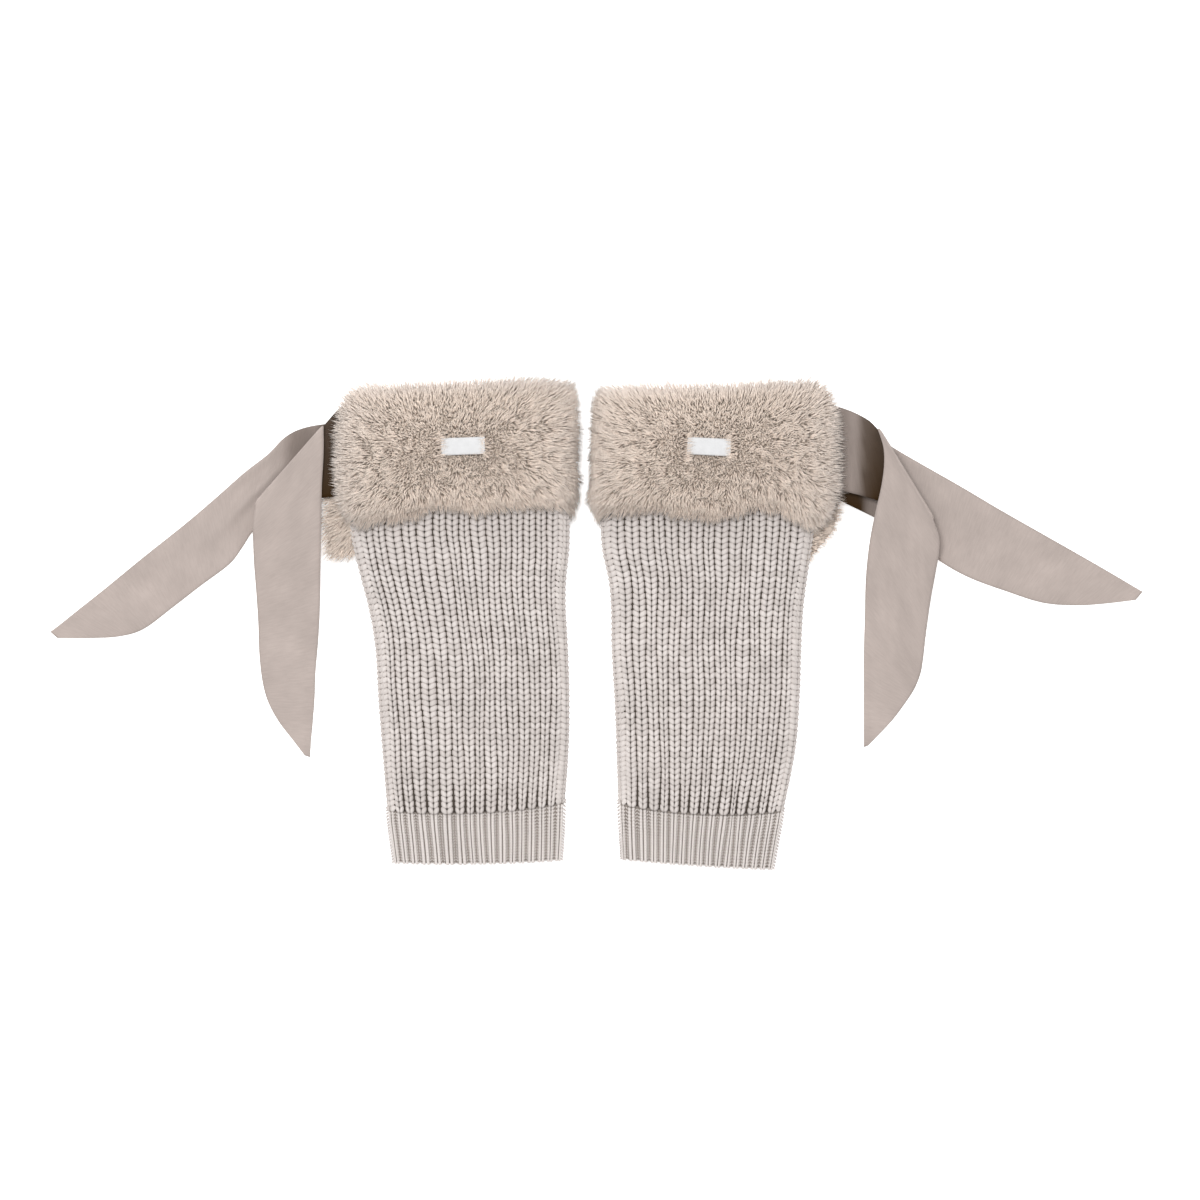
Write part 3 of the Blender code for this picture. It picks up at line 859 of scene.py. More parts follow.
class Dye(Wiring):
    """A Principled material and a few words for its nodes."""

    def __init__(self, name: str, effects: Effects, roughness: float, sheen: float = 0.0,
                 gloss: float = 0.25) -> None:
        """Start a material.

        Args:
            name: its name.
            effects: the shared effects.
            roughness: the roughness of its surface.
            sheen: how much soft sheen the cloth has.
            gloss: how much its surface mirrors.
        """
        self.effects = effects
        self.material = bpy.data.materials.new(name)
        self.material.use_nodes = True
        super().__init__(self.material.node_tree)
        self.surface = self.tree.nodes["Principled BSDF"]
        self.surface.inputs["Roughness"].default_value = roughness
        self.surface.inputs["Sheen Weight"].default_value = sheen
        self.surface.inputs["Specular IOR Level"].default_value = gloss

    def attribute(self, name: str) -> Socket:
        """A number stored on the mesh."""
        return self.node("ShaderNodeAttribute", attribute_name=name).outputs["Fac"]

    def object_place(self) -> Socket:
        """The place on the object."""
        return self.node("ShaderNodeTexCoord").outputs["Object"]

    def cloth_place(self) -> Socket:
        """The place on the flat cloth."""
        return self.node("ShaderNodeUVMap", uv_map=CLOTH_MAP).outputs["UV"]

    def mottle(self, place: Any, pitch: float, darkest: float = 0.0) -> Socket:
        """Soft uneven spots from darkest to 1, with a pitch in millimetres."""
        return self.shared(self.effects.mottle, {"Place": place, "Pitch": pitch * MM, "Darkest": darkest})

    def threads(self, place: Any, pitch: float) -> Socket:
        """The height of woven threads with a pitch in millimetres."""
        return self.shared(self.effects.threads, {"Place": place, "Pitch": pitch * MM})

    def shared(self, group: Tree, inputs: dict[str, Any]) -> Socket:
        """The output of a shared effect."""
        return self.node("ShaderNodeGroup", inputs, node_tree=group).outputs[0]

    def ramp(self, share: Any, stops: Sequence[tuple[float, Colour]]) -> Socket:
        """A run of colours.

        Args:
            share: the value from 0 to 1 that picks the colour.
            stops: the places and colours of the run.

        Returns:
            The colour's socket.
        """
        made = self.node("ShaderNodeValToRGB", {"Fac": share})
        elements = made.color_ramp.elements
        while len(elements) < len(stops):
            elements.new(0.5)
        for element, (place, colour) in zip(elements, stops):
            element.position = place
            element.color = (*colour, 1.0)
        return made.outputs["Color"]

    def blend(self, kind: str, share: Any, first: Any, second: Any) -> Socket:
        """Two colours mixed in a given way."""
        inputs = {0: share, 6: first, 7: second}
        return self.node("ShaderNodeMix", inputs, data_type="RGBA", blend_type=kind).outputs[2]

    def bump(self, height: Any, depth: float) -> None:
        """Raise the surface by a height, with a depth in millimetres."""
        made = self.node("ShaderNodeBump", {"Height": height, "Distance": depth * MM, "Strength": 1.0})
        self.tree.links.new(made.outputs["Normal"], self.surface.inputs["Normal"])

    def colour(self, colour: Any, *shades: Any) -> None:
        """Set the base colour, times each of the shades."""
        for shade in shades:
            colour = self.blend("MULTIPLY", 1.0, colour, shade)
        feed(self.tree, self.surface.inputs["Base Color"], colour)


@dataclass(frozen=True)
class YarnFinish:
    """Matt cotton yarn, a little uneven in tone from stitch to stitch. On the leg its tone also carries
    painted shade: the turned sides and the stitches near the cuff are darker.
    """

    name: str = "chunky_yarn"
    low: Colour = (0.585, 0.535, 0.508)
    high: Colour = (0.69, 0.637, 0.61)
    fibre_pitch: float = 0.5
    fibre_depth: float = 0.12
    patch_pitch: float = 26.0
    patch_shade: float = 0.93
    roughness: float = 0.9
    sheen: float = 0.1

    def make(self, effects: Effects) -> Material:
        """Build the material."""
        dye = Dye(self.name, effects, self.roughness, self.sheen)
        place = dye.object_place()
        tone = dye.ramp(dye.attribute("tone"), ((0.0, self.low), (1.0, self.high)))
        dye.colour(tone, dye.mottle(place, self.patch_pitch, self.patch_shade))
        dye.bump(dye.mottle(place, self.fibre_pitch), self.fibre_depth)
        return dye.material


@dataclass(frozen=True)
class GroundFinish:
    """The ground behind the stitches or the pile. Behind the stitches its dark colour is painted shade for
    the gaps between them; behind the pile it is close to the colour of the fur's roots.
    """

    name: str
    shade: Colour
    patch_pitch: float = 2.0
    patch_shade: float = 0.75
    fibre_pitch: float = 1.0
    fibre_depth: float = 0.2
    roughness: float = 0.95

    def make(self, effects: Effects) -> Material:
        """Build the material."""
        dye = Dye(self.name, effects, self.roughness)
        place = dye.object_place()
        dye.colour(self.shade, dye.mottle(place, self.patch_pitch, self.patch_shade))
        dye.bump(dye.mottle(place, self.fibre_pitch), self.fibre_depth)
        return dye.material


@dataclass(frozen=True)
class PileFinish:
    """Soft fur: darker at the roots, painted shade deep in the pile; lightest at the tips; and paler and
    greyer at the rims, painted light.
    """

    name: str = "fur_pile"
    # The roots' darker colour is painted shade deep in the pile.
    root: Colour = (0.84, 0.655, 0.525)
    middle: Colour = (0.98, 0.805, 0.68)
    tip: Colour = (0.99, 0.87, 0.76)
    # The rim colour is painted light on the fur's rims.
    rim: Colour = (0.98, 0.905, 0.85)
    middle_place: float = 0.45
    tone_shade: float = 0.9
    skin_share: float = 1.6
    roughness: float = 0.8
    sheen: float = 0.5

    def make(self, effects: Effects) -> Material:
        """Build the material."""
        dye = Dye(self.name, effects, self.roughness, self.sheen)
        skin = dye.node("ShaderNodeAttribute", attribute_name="out").outputs["Vector"]
        own = dye.node("ShaderNodeNewGeometry").outputs["Normal"]
        normal = dye.vector("NORMALIZE", dye.total(dye.scaled(skin, self.skin_share), own))
        dye.tree.links.new(normal, dye.surface.inputs["Normal"])
        along = dye.attribute("tip")
        strand = dye.ramp(along, ((0.0, self.root), (self.middle_place, self.middle), (1.0, self.tip)))
        # Painted light: towards the rims the strands are mixed with a paler colour.
        pale = dye.ramp(along, ((0.0, self.middle), (1.0, self.rim)))
        shade = dye.blend("MIX", dye.attribute("rim"), strand, pale)
        uneven = dye.times(dye.attribute("tone"), 1.0 - self.tone_shade)
        dye.colour(shade, dye.plus(self.tone_shade, uneven))
        return dye.material


@dataclass(frozen=True)
class SashFinish:
    """Fine satin with uneven threads across the sash, and painted shade inside its fold and where the rear
    tie lies under the front one.
    """

    name: str = "sash_satin"
    cloth: Colour = (0.452, 0.384, 0.352)
    # The painted shade: a deep brown that stands in for the shadow inside the fold and under the front tie.
    dim: Colour = (0.036, 0.017, 0.004)
    thread: float = 0.35
    thread_depth: float = 0.06
    slub_pitch: float = 0.77
    slub_stretch: float = 0.12
    slub_shade: float = 0.9
    cloud_pitch: float = 24.0
    cloud_shade: float = 0.86
    roughness: float = 0.55
    sheen: float = 0.0
    gloss: float = 0.06

    def make(self, effects: Effects) -> Material:
        """Build the material."""
        dye = Dye(self.name, effects, self.roughness, self.sheen, self.gloss)
        place = dye.cloth_place()
        drawn = dye.node("ShaderNodeMapping", {"Vector": place, "Scale": (self.slub_stretch, 1.0, 1.0)})
        slubs = dye.mottle(drawn.outputs[0], self.slub_pitch, self.slub_shade)
        # Painted shade, mixed in by the share stored on the mesh.
        cloth = dye.blend("MIX", dye.attribute("dim"), self.cloth, self.dim)
        dye.colour(cloth, slubs, dye.mottle(place, self.cloud_pitch, self.cloud_shade))
        dye.bump(dye.threads(place, self.thread), self.thread_depth)
        return dye.material


@dataclass(frozen=True)
class TabFinish:
    """A bare woven tab with a fine even weave."""

    name: str = "woven_tab"
    cloth: Colour = (0.64, 0.64, 0.645)
    thread: float = 0.4
    thread_depth: float = 0.08
    patch_pitch: float = 3.0
    patch_shade: float = 0.94
    roughness: float = 0.6
    sheen: float = 0.1

    def make(self, effects: Effects) -> Material:
        """Build the material."""
        dye = Dye(self.name, effects, self.roughness, self.sheen)
        place = dye.object_place()
        dye.colour(self.cloth, dye.mottle(place, self.patch_pitch, self.patch_shade))
        dye.bump(dye.threads(place, self.thread), self.thread_depth)
        return dye.material


@dataclass(frozen=True)
class FloorFinish:
    """The plain pale floor of a studio."""

    name: str = "pale_floor"
    shade: Colour = (0.945, 0.945, 0.945)
    glow: float = 0.55
    patch_pitch: float = 60.0
    patch_shade: float = 0.985
    roughness: float = 0.9

    def make(self, effects: Effects) -> Material:
        """Build the material."""
        dye = Dye(self.name, effects, self.roughness)
        dye.surface.inputs["Emission Strength"].default_value = self.glow
        dye.colour(self.shade, dye.mottle(dye.object_place(), self.patch_pitch, self.patch_shade))
        return dye.material


class Finishes:
    """Every material of the pair and of the floor, built once."""

    def __init__(self) -> None:
        """Build the materials."""
        effects = Effects()
        self.yarn = YarnFinish().make(effects)
        # The yarn and rib grounds are painted shade: dark colours for the gaps between the stitches.
        self.yarn_ground = GroundFinish("yarn_ground", (0.07, 0.055, 0.046)).make(effects)
        self.rib_ground = GroundFinish("rib_ground", (0.27, 0.235, 0.21)).make(effects)
        self.pile = PileFinish().make(effects)
        self.pile_ground = GroundFinish("pile_ground", (0.74, 0.62, 0.52)).make(effects)
        self.sash = SashFinish().make(effects)
        self.tab = TabFinish().make(effects)
        self.floor = FloorFinish().make(effects)


@dataclass(frozen=True)
class StitchShape:
    """One knit stitch: two plump legs that make a V.

    Widths are shares of half a column, heights along it are shares of a row, and
    thickness is a share of the stitch's lift.
    """

    middle: float = 0.5
    reach_side: float = 0.53
    reach_along: float = 0.29
    width_side: float = 0.0
    width_along: float = -0.62
    height: float = 1.0
    dip: float = 0.9
    bow: float = 0.95
    tilt: float = 0.15
    sides: int = 6
    rings: int = 5

    @property
    def loops(self) -> int:
        """How many face corners both legs have."""
        return 2 * (self.sides * 2 * 3 + self.sides * (self.rings - 2) * 4)


class StitchField(Grower):
    """The tree that puts a V stitch on each point of a carrier."""

    PLUMPNESS = 0.2
    TIP = 0.02

    def __init__(self) -> None:
        """Build the tree."""
        super().__init__("stitch_field", asdict(StitchShape()))
        size = self.sizes
        ball = {"Segments": size["sides"], "Rings": size["rings"], "Radius": 1.0}
        leg = self.mapped(self.node("GeometryNodeMeshUVSphere", ball))
        wide, thick, along = self.parts(self.where)
        square = self.times(along, along)
        inside = self.maths("MAXIMUM", self.less(1.0 + self.TIP, square), self.TIP)
        plump = self.maths("POWER", inside, -self.PLUMPNESS)
        wide = self.times(wide, plump)
        side = self.plus(size["middle"], self.times(along, size["reach_side"]),
                         self.times(wide, size["width_side"]))
        up = self.plus(self.times(along, size["reach_along"]), self.times(wide, size["width_along"]))
        out = self.less(self.times(thick, plump, size["height"], -1.0), self.times(square, size["dip"]),
                        self.times(side, side, size["bow"]))
        out = self.plus(out, self.times(wide, size["tilt"]))
        shaped = self.node("ShaderNodeCombineXYZ", {0: side, 1: up, 2: out}).outputs[0]
        right = self.node("GeometryNodeSetPosition", {"Geometry": leg, "Position": shaped}).outputs[0]
        mirror = {"Geometry": right, "Scale": (-1.0, 1.0, 1.0)}
        mirrored = self.node("GeometryNodeTransform", mirror).outputs[0]
        both = self.node("GeometryNodeJoinGeometry")
        self.tree.links.new(right, both.inputs[0])
        self.tree.links.new(self.node("GeometryNodeFlipFaces", {0: mirrored}).outputs[0], both.inputs[0])
        stitch = self.keep(both.outputs[0], "local", self.where, VECTOR)
        many = self.repeat(self.keep(self.carrier, "seat", self.where, VECTOR), stitch)
        shares = self.parts(self.named("local", VECTOR))
        steps = [self.scaled(self.named(way, VECTOR), share)
                 for way, share in zip(("side", "along", "lift"), shares)]
        self.end(many, self.total(self.named("seat", VECTOR), *steps))

    def stitches(self, name: str, ways: Sequence[Array], tone: Array, shape: StitchShape,
                 finish: Material) -> Thing:
        """A field of stitches, kept off the surface that the pair lies on.

        Args:
            name: the object's name.
            ways: for each stitch, in millimetres: its seat, the way across its column,
                as long as half a column, the way along it, as long as a row, and the
                way out of the cloth, as long as a leg is thick.
            tone: how light each one is, from 0 to 1.
            shape: the form of a stitch.
            finish: the material.

        Returns:
            The finished object.
        """
        carrier = new_mesh(name + "_seats", ways[0], [])
        for label, way in zip(("side", "along", "lift"), ways[1:]):
            add_attribute(carrier, label, way * MM)
        add_attribute(carrier, "tone", tone)
        thing = self.grow(name, carrier, finish, asdict(shape))
        tidy_grown(thing, ("tone",), shape.loops)
        rest_on_floor(thing, FLOOR_GAP)
        return thing


@dataclass(frozen=True)
class KnitLift:
    """How the knit lies on the cuff's back panel and slopes down to the surface."""

    height: float = 7.2
    slope_top: float = 46.0
    slope_foot: float = 2.0

    def at(self, y: Array) -> Array:
        """The height of the knit's underside at each y."""
        return self.height * (1.0 - ease((self.slope_top - y) / (self.slope_top - self.slope_foot)))


class LaidTube:
    """A knitted tube laid flat: where its columns and courses run."""

    WAVES = np.array([0.045, 0.11])
    SWAY = np.array([0.3, 0.14])
    TOP_MARGIN = 2.5
    TOP_CORNER = 12.0

    def __init__(self, courses: Sequence[Course], ribs: Sequence[float], side_round: float,
                 seed: int) -> None:
        """Smooth the courses and choose how the valleys between the columns wander.

        Args:
            courses: the courses, from the cuff down.
            ribs: how wide each rib is, from the left.
            side_round: how far its top rounds over at its sides.
            seed: the seed of the wander.
        """
        self.fine = smooth_rows(courses, COURSE_STEPS)
        self.starts = np.concatenate([[0.0], np.cumsum(ribs)]) / sum(ribs)
        self.side_round = side_round
        self.lift = KnitLift()
        chance = np.random.default_rng(seed)
        self.wander = chance.uniform(-0.5, 0.5, (RIBS + 1, 2))
        self.phase = chance.uniform(0.0, 2.0 * math.pi, (RIBS + 1, 2))
        self.wander[[0, RIBS]] = 0.0

    def course(self, middle: Array) -> Array:
        """The smoothed course values where the tube's middle is at a height."""
        keys = -self.fine[:, 1]
        return np.stack([np.interp(-middle, keys, column) for column in self.fine.T], axis=-1)

    def valley(self, index: Array, y: Array) -> Array:
        """The share across the tube of the valley left of a column, at a height."""
        waves = np.sin(y[..., None] * self.WAVES + self.phase[index])
        return self.starts[index] + (self.wander[index] * self.SWAY * waves).sum(axis=-1) / RIBS

    def heading(self, across: Array, middle: Array) -> Array:
        """The unit step up a column at a place, in x, y and z."""
        step = self.point(across, middle + 0.5) - self.point(across, middle - 0.5)
        low, high = (self.lift.at(self.point(across, middle + half)[..., 1]) for half in (-0.5, 0.5))
        return unit(np.concatenate([step, (high - low)[..., None]], axis=-1))

    def point(self, across: Array, middle: Array) -> Array:
        """The x and y of a place: a share across, on the course whose middle is at a height."""
        row = self.course(middle)
        x = mix(row[..., 3], row[..., 4], across)
        sag = row[..., 1] - 0.5 * (row[..., 0] + row[..., 2])
        y = mix(row[..., 0], row[..., 2], across) + 4.0 * sag * across * (1.0 - across)
        return np.stack([x, y], axis=-1)

    def cells(self, columns: int, top: float, pitch: float, start: float = 0.5) -> tuple[Array, Array, Array]:
        """The rows and columns of stitches that cover the tube.

        Args:
            columns: how many columns there are.
            top: the height that the rows stay under.
            pitch: how far apart the rows are.
            start: how far the first row is from the lower end, as a share of the pitch.

        Returns:
            The height of each row, and the column and the height of each stitch.
        """
        rows = np.arange(self.fine[-1, 1] + start * pitch, top, pitch)
        column, row = np.meshgrid(np.arange(columns), np.arange(len(rows)), indexing="ij")
        return rows, column, rows[row]

    def top_limit(self, x: Array) -> Array:
        """How high up the cloth reaches at each x, rounded off at both corners under the cuff."""
        edge = self.fine[0]
        if edge[1] < 0.0:
            return np.full(len(x), np.inf)
        inside = np.minimum(x - edge[3], edge[4] - x)
        return edge[1] - self.TOP_MARGIN - self.TOP_CORNER * (1.0 - round_over(inside, self.TOP_CORNER))

    def side_rise(self, x: Array, middle: Array) -> Array:
        """How far the top has rounded over near the tube's sides, from 0 to 1."""
        row = self.course(middle)
        return round_over(np.minimum(x - row[..., 3], row[..., 4] - x), self.side_round)


class Shell(NamedTuple):
    """The ground of a knitted tube: its heights, how far its sides are in, its wall and its rings."""

    low: float
    top: float
    inset: float
    wall: float
    rings: int


def tube_shell(name: str, tube: LaidTube, shell: Shell, finish: Material) -> Thing:
    """The ground of a knitted tube, a plain flattened tube with a wall.

    Args:
        name: the object's name.
        tube: the laid tube.
        shell: the ground's sizes.
        finish: the material.

    Returns:
        The object.
    """
    flat = np.linspace(0.0, 1.0, SHELL_CELLS + 1)
    turn = np.linspace(0.0, math.pi, SHELL_TURN + 1)[1:-1]
    still, ones = np.zeros(len(flat)), np.ones(len(flat))
    share = np.concatenate([flat, np.ones(len(turn)), flat[::-1], np.zeros(len(turn))])
    push = np.concatenate([still, np.sin(turn), still, -np.sin(turn)])
    level = np.concatenate([ones, np.cos(turn), -ones, -np.cos(turn)])
    rings = []
    for thick in (0.0, shell.wall):
        half = 0.5 * (shell.top - shell.low) - thick
        side = shell.inset + thick + half
        for height in np.linspace(tube.fine[0, 1] - 0.5, tube.fine[-1, 1] + 0.5, shell.rings):
            row = tube.course(np.array(height))
            width = row[4] - row[3]
            spread = (side + (width - 2.0 * side) * share) / width
            x, y = tube.point(spread, np.full(len(share), height)).T
            x = x + push * half
            y = np.minimum(y, tube.top_limit(x))
            z = 0.5 * (shell.top + shell.low) + level * half + tube.lift.at(y)
            rings.append(np.stack([x, y, z], axis=-1))
    columns = len(share)
    count = shell.rings * columns
    faces = grid_faces(shell.rings, columns, 0, True)
    faces += [tuple(reversed(face)) for face in grid_faces(shell.rings, columns, count, True)]
    for start in (0, count - columns):
        for column in range(columns):
            here = start + column
            there = start + (column + 1) % columns
            corners = (here, here + count, there + count, there)
            faces.append(corners if start == 0 else tuple(reversed(corners)))
    mesh = new_mesh(name, np.concatenate(rings), faces)
    turn_out(mesh)
    return new_object(name, mesh, finish)


@dataclass
class KnitPart:
    """A stretch of a leg warmer's knit: a flattened tube of ground, covered in stitches."""

    tables: LegTables
    field: StitchField
    finishes: Finishes

    def laid(self, courses: Sequence[Course], side_round: float) -> LaidTube:
        """The laid tube. Both stretches share their ribs and their wander, so their columns meet."""
        return LaidTube(courses, self.tables.ribs, side_round, WANDER + self.tables.outward)

    def cover(self, name: str, ways: Sequence[Array], tone: Array, shape: StitchShape) -> Thing:
        """Stitches in the yarn."""
        return self.field.stitches(name, ways, tone, shape, self.finishes.yarn)

    def declare(self, node: str, courses: Sequence[Course], rests_on: Sequence[str],
                ground: Thing, *stitches: Thing) -> None:
        """Settle the pieces.

        Args:
            node: the end of the name of the node that they stand for.
            courses: not used.
            rests_on: not used.
            ground: the ground of the tube.
            stitches: the stitches on it.
        """
        for piece in (ground, *stitches):
            settle(piece, "knit", self.tables.name + node)


@dataclass
class KnitLeg(KnitPart):
    """The chunky ribbed leg: its ground and its stitches."""

    ground: Shell = Shell(1.0, 4.3, 2.6, 1.0, 56)
    side_round: float = 4.5
    row_pitch: float = 3.1
    row_top: float = 66.0
    under_top: float = 56.0
    seat_top: float = 5.45
    leg_thick: float = 1.15
    seat_low: float = 1.0
    seat_stray: float = 0.08
    size_stray: float = 0.03
    join_gap: float = 0.13
    join_reach: float = 22.0
    side_column: float = 2.4
    side_inset: float = 1.9
    # Painted shade under the cuff: how much the stitches' tone drops, and from which height over which reach.
    shade: float = 0.8
    shade_foot: float = 30.0
    shade_reach: float = 25.0
    seed: int = 11
    under_seed: int = 16
    shape: StitchShape = StitchShape()
    under_shape: StitchShape = StitchShape(sides=4, rings=3, height=0.8)

    def build(self) -> None:
        name = self.tables.name + "_leg"
        tube = self.laid(self.tables.leg, self.side_round)
        ground = tube_shell(name + "_ground", tube, self.ground, self.finishes.yarn_ground)
        front = self.front(name + "_stitches", tube)
        under = self.under(name + "_under_stitches", tube)
        self.declare("_body_knit", self.tables.leg, (self.tables.name + "_fur_cuff",), ground, front, under)

    def front(self, name: str, tube: LaidTube) -> Thing:
        """The stitches of the upper side and of the two turned sides."""
        chance = np.random.default_rng(self.seed)
        rows, column, height = tube.cells(RIBS, self.row_top, self.row_pitch)
        left, right = tube.valley(column, height), tube.valley(column + 1, height)
        across = 0.5 * (left + right)
        centre = tube.point(across, height)
        ends = []
        for share in (left, right):
            edge = tube.point(share, height)
            level = mix(self.seat_low, self.seat_top, tube.side_rise(edge[..., 0], height))
            ends.append(np.concatenate([edge, (level + tube.lift.at(centre[..., 1]))[..., None]], axis=-1))
        seat = 0.5 * (ends[0] + ends[1])
        seat[..., :2] = centre
        apart = 1.0 - self.join_gap * (1.0 - ease((height - rows[0]) / self.join_reach))
        side = 0.5 * apart[..., None] * (ends[1] - ends[0])
        along = self.row_pitch * tube.heading(across, height)
        out = unit(np.cross(side, along))
        seat = seat + out * chance.normal(0.0, self.seat_stray, seat.shape[:2])[..., None]
        parts = [[way.reshape(-1, 3) for way in (seat, side, along, out)]]
        parts += [self.turned_side(tube, rows, outward) for outward in (-1.0, 1.0)]
        seat, side, along, out = (np.concatenate(group) for group in zip(*parts))
        # The turned sides' stitches get the lowest tone, painted shade where the tube turns down; near the
        # cuff every tone drops further, painted shade under the cuff.
        tone = chance.uniform(0.0, 1.0, len(seat)) * (np.arange(len(seat)) < column.size)
        tone = tone * (1.0 - self.shade * ease((seat[:, 1] - self.shade_foot) / self.shade_reach))
        grow = chance.normal(1.0, self.size_stray, len(seat))[:, None]
        return self.cover(name, (seat, side * grow, along, out * self.leg_thick), tone, self.shape)

    def turned_side(self, tube: LaidTube, rows: Array, outward: float) -> tuple[Array, ...]:
        """The column of stitches on one of the tube's turned sides.

        Args:
            tube: the laid tube.
            rows: the height of each row.
            outward: -1 for the left side and 1 for the right one.

        Returns:
            The seats, and the ways across, along and out of the column.
        """
        x = tube.course(rows)[:, 3 if outward < 0.0 else 4] - outward * self.side_inset
        y = tube.point(np.full(len(rows), 0.5 + 0.5 * outward), rows)[:, 1]
        seat = np.stack([x, y, 0.5 * (self.seat_low + self.seat_top) + tube.lift.at(y)], axis=-1)
        side = np.tile(unit(np.array([1.0, 0.0, -outward])) * self.side_column, (len(rows), 1))
        along = np.gradient(seat, axis=0)
        return seat, side, along, unit(np.cross(side, along))

    def under(self, name: str, tube: LaidTube) -> Thing:
        """The plainer stitches of the underside."""
        chance = np.random.default_rng(self.under_seed)
        _, column, height = tube.cells(RIBS, self.under_top, self.row_pitch)
        left, right = tube.point(column / RIBS, height), tube.point((column + 1) / RIBS, height)
        centre = (0.5 * (left + right)).reshape(-1, 2)
        low, high = tube.lift.at(centre[:, 1]), tube.lift.at(centre[:, 1] + 1.0)
        seat = np.column_stack([centre, self.seat_low + low])
        side = np.zeros_like(seat)
        side[:, 0] = -0.5 * (right - left)[..., 0].ravel()
        along = self.row_pitch * unit(np.column_stack([0.0 * low, np.ones(len(seat)), high - low]))
        out = unit(np.cross(side, along)) * self.leg_thick
        tone = chance.uniform(0.0, 1.0, len(seat))
        return self.cover(name, (seat, side, along, out), tone, self.under_shape)


@dataclass
class HemRib(KnitPart):
    """The finer ribbed hem: smooth wales that stand up, and purl bands between them."""

    ground: Shell = Shell(0.7, 3.5, 1.0, 0.9, 12)
    side_round: float = 3.6
    row_pitch: float = 1.55
    row_start: float = 0.4
    seat_top: float = 3.9
    seat_side: float = 2.0
    seat_low: float = 1.0
    purl_drop: float = 0.4
    purl_edge: float = 0.006
    side_lean: float = 1.3
    tuck: float = 1.7
    tuck_start: float = 4.0
    tuck_reach: float = 2.5
    wale_share: float = 0.335
    purl_share: float = 0.25
    tones: tuple[float, float] = (0.9, 1.9)
    seed: int = 23
    wale: StitchShape = StitchShape(0.5, 0.08, 0.8, 0.47, -0.08, 0.75, 0.3, 0.0, 0.0, 5, 4)
    purl: StitchShape = StitchShape(0.5, 0.46, -0.42, 0.0, -0.33, 1.1, 0.5, 0.0, 0.0, 5, 4)
    under_wale: StitchShape = StitchShape(0.5, 0.1, 0.8, 0.42, -0.1, 0.7, 0.35, 0.0, 0.0, 4, 3)

    def build(self) -> None:
        name = self.tables.name + "_hem"
        tube = self.laid(self.tables.hem, self.side_round)
        ground = tube_shell(name + "_ground", tube, self.ground, self.finishes.rib_ground)
        wales = self.columns(name + "_wales", tube, self.wale, self.wale_share)
        purls = self.columns(name + "_purls", tube, self.purl, self.purl_share, between=True)
        under = self.columns(name + "_under_wales", tube, self.under_wale, self.wale_share, under=True)
        self.declare("_hem_rib", self.tables.hem, (), ground, wales, purls, under)

    def columns(self, name: str, tube: LaidTube, shape: StitchShape, share: float,
                between: bool = False, under: bool = False) -> Thing:
        """One kind of column over the whole hem.

        Args:
            name: the object's name.
            tube: the laid hem.
            shape: the form of a stitch.
            share: half the column's width, as a share of the pitch.
            between: whether the columns lie in the valleys between the ribs.
            under: whether it is the underside.

        Returns:
            The object.
        """
        chance = np.random.default_rng(self.seed + len(name))
        count = RIBS + 1 if between else RIBS
        _, column, height = tube.cells(count, tube.fine[0, 1], self.row_pitch, self.row_start)
        if between:
            across = np.clip(tube.valley(column, height), self.purl_edge, 1.0 - self.purl_edge)
            span = np.full(across.shape, 0.5 / RIBS)
        else:
            left, right = tube.valley(column, height), tube.valley(column + 1, height)
            across = 0.5 * (left + right)
            span = 0.5 * (right - left)
        centre = tube.point(across, height)
        width = (tube.point(across + span, height) - tube.point(across - span, height))[..., 0]
        rise = tube.side_rise(centre[..., 0], height)
        if under:
            z = np.full(rise.shape, self.seat_low)
            lean = np.zeros(rise.shape)
        else:
            tuck = self.tuck * ease((height - tube.fine[0, 1] + self.tuck_start) / self.tuck_reach)
            z = mix(self.seat_side, self.seat_top - (self.purl_drop if between else 0.0), rise) - tuck
            lean = np.sign(across - 0.5) * (1.0 - rise) * self.side_lean
        seat = np.concatenate([centre, z[..., None]], axis=-1)
        along = self.row_pitch * tube.heading(across, height)
        side = np.stack([np.cos(lean) * (-1.0 if under else 1.0), np.zeros_like(z), -np.sin(lean)], axis=-1)
        side = side * (share * width)[..., None]
        ways = [way.reshape(-1, 3) for way in (seat, side, along, unit(np.cross(side, along)))]
        return self.cover(name, ways, chance.uniform(*self.tones, len(ways[0])), shape)


def settle(piece: Thing, slot: str, *nodes: str) -> None:
    """Ride a piece on the body, hide the parts that it stands for and log it.

    Args:
        piece: the finished piece.
        slot: not used.
        nodes: the nodes that it stands for.
    """
    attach(piece, BODY)
    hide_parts(*nodes)
    triangles = sum(len(face.vertices) - 2 for face in piece.data.polygons)
    log.info("%s: %d triangles", piece.name, triangles)


@dataclass(frozen=True)
class PileShape:
    """The sizes of the fur, in metres, and how many strands a square metre of skin has."""

    density: float = 1.0 / MM**2
    seed: int = 1
    width: float = 0.24 * MM
    tuft_pitch: float = 5.5 * MM
    gather: float = 0.22
    swirl: float = 12.0 * MM
    swirl_pitch: float = 7.0 * MM
    stray: float = 3.4 * MM


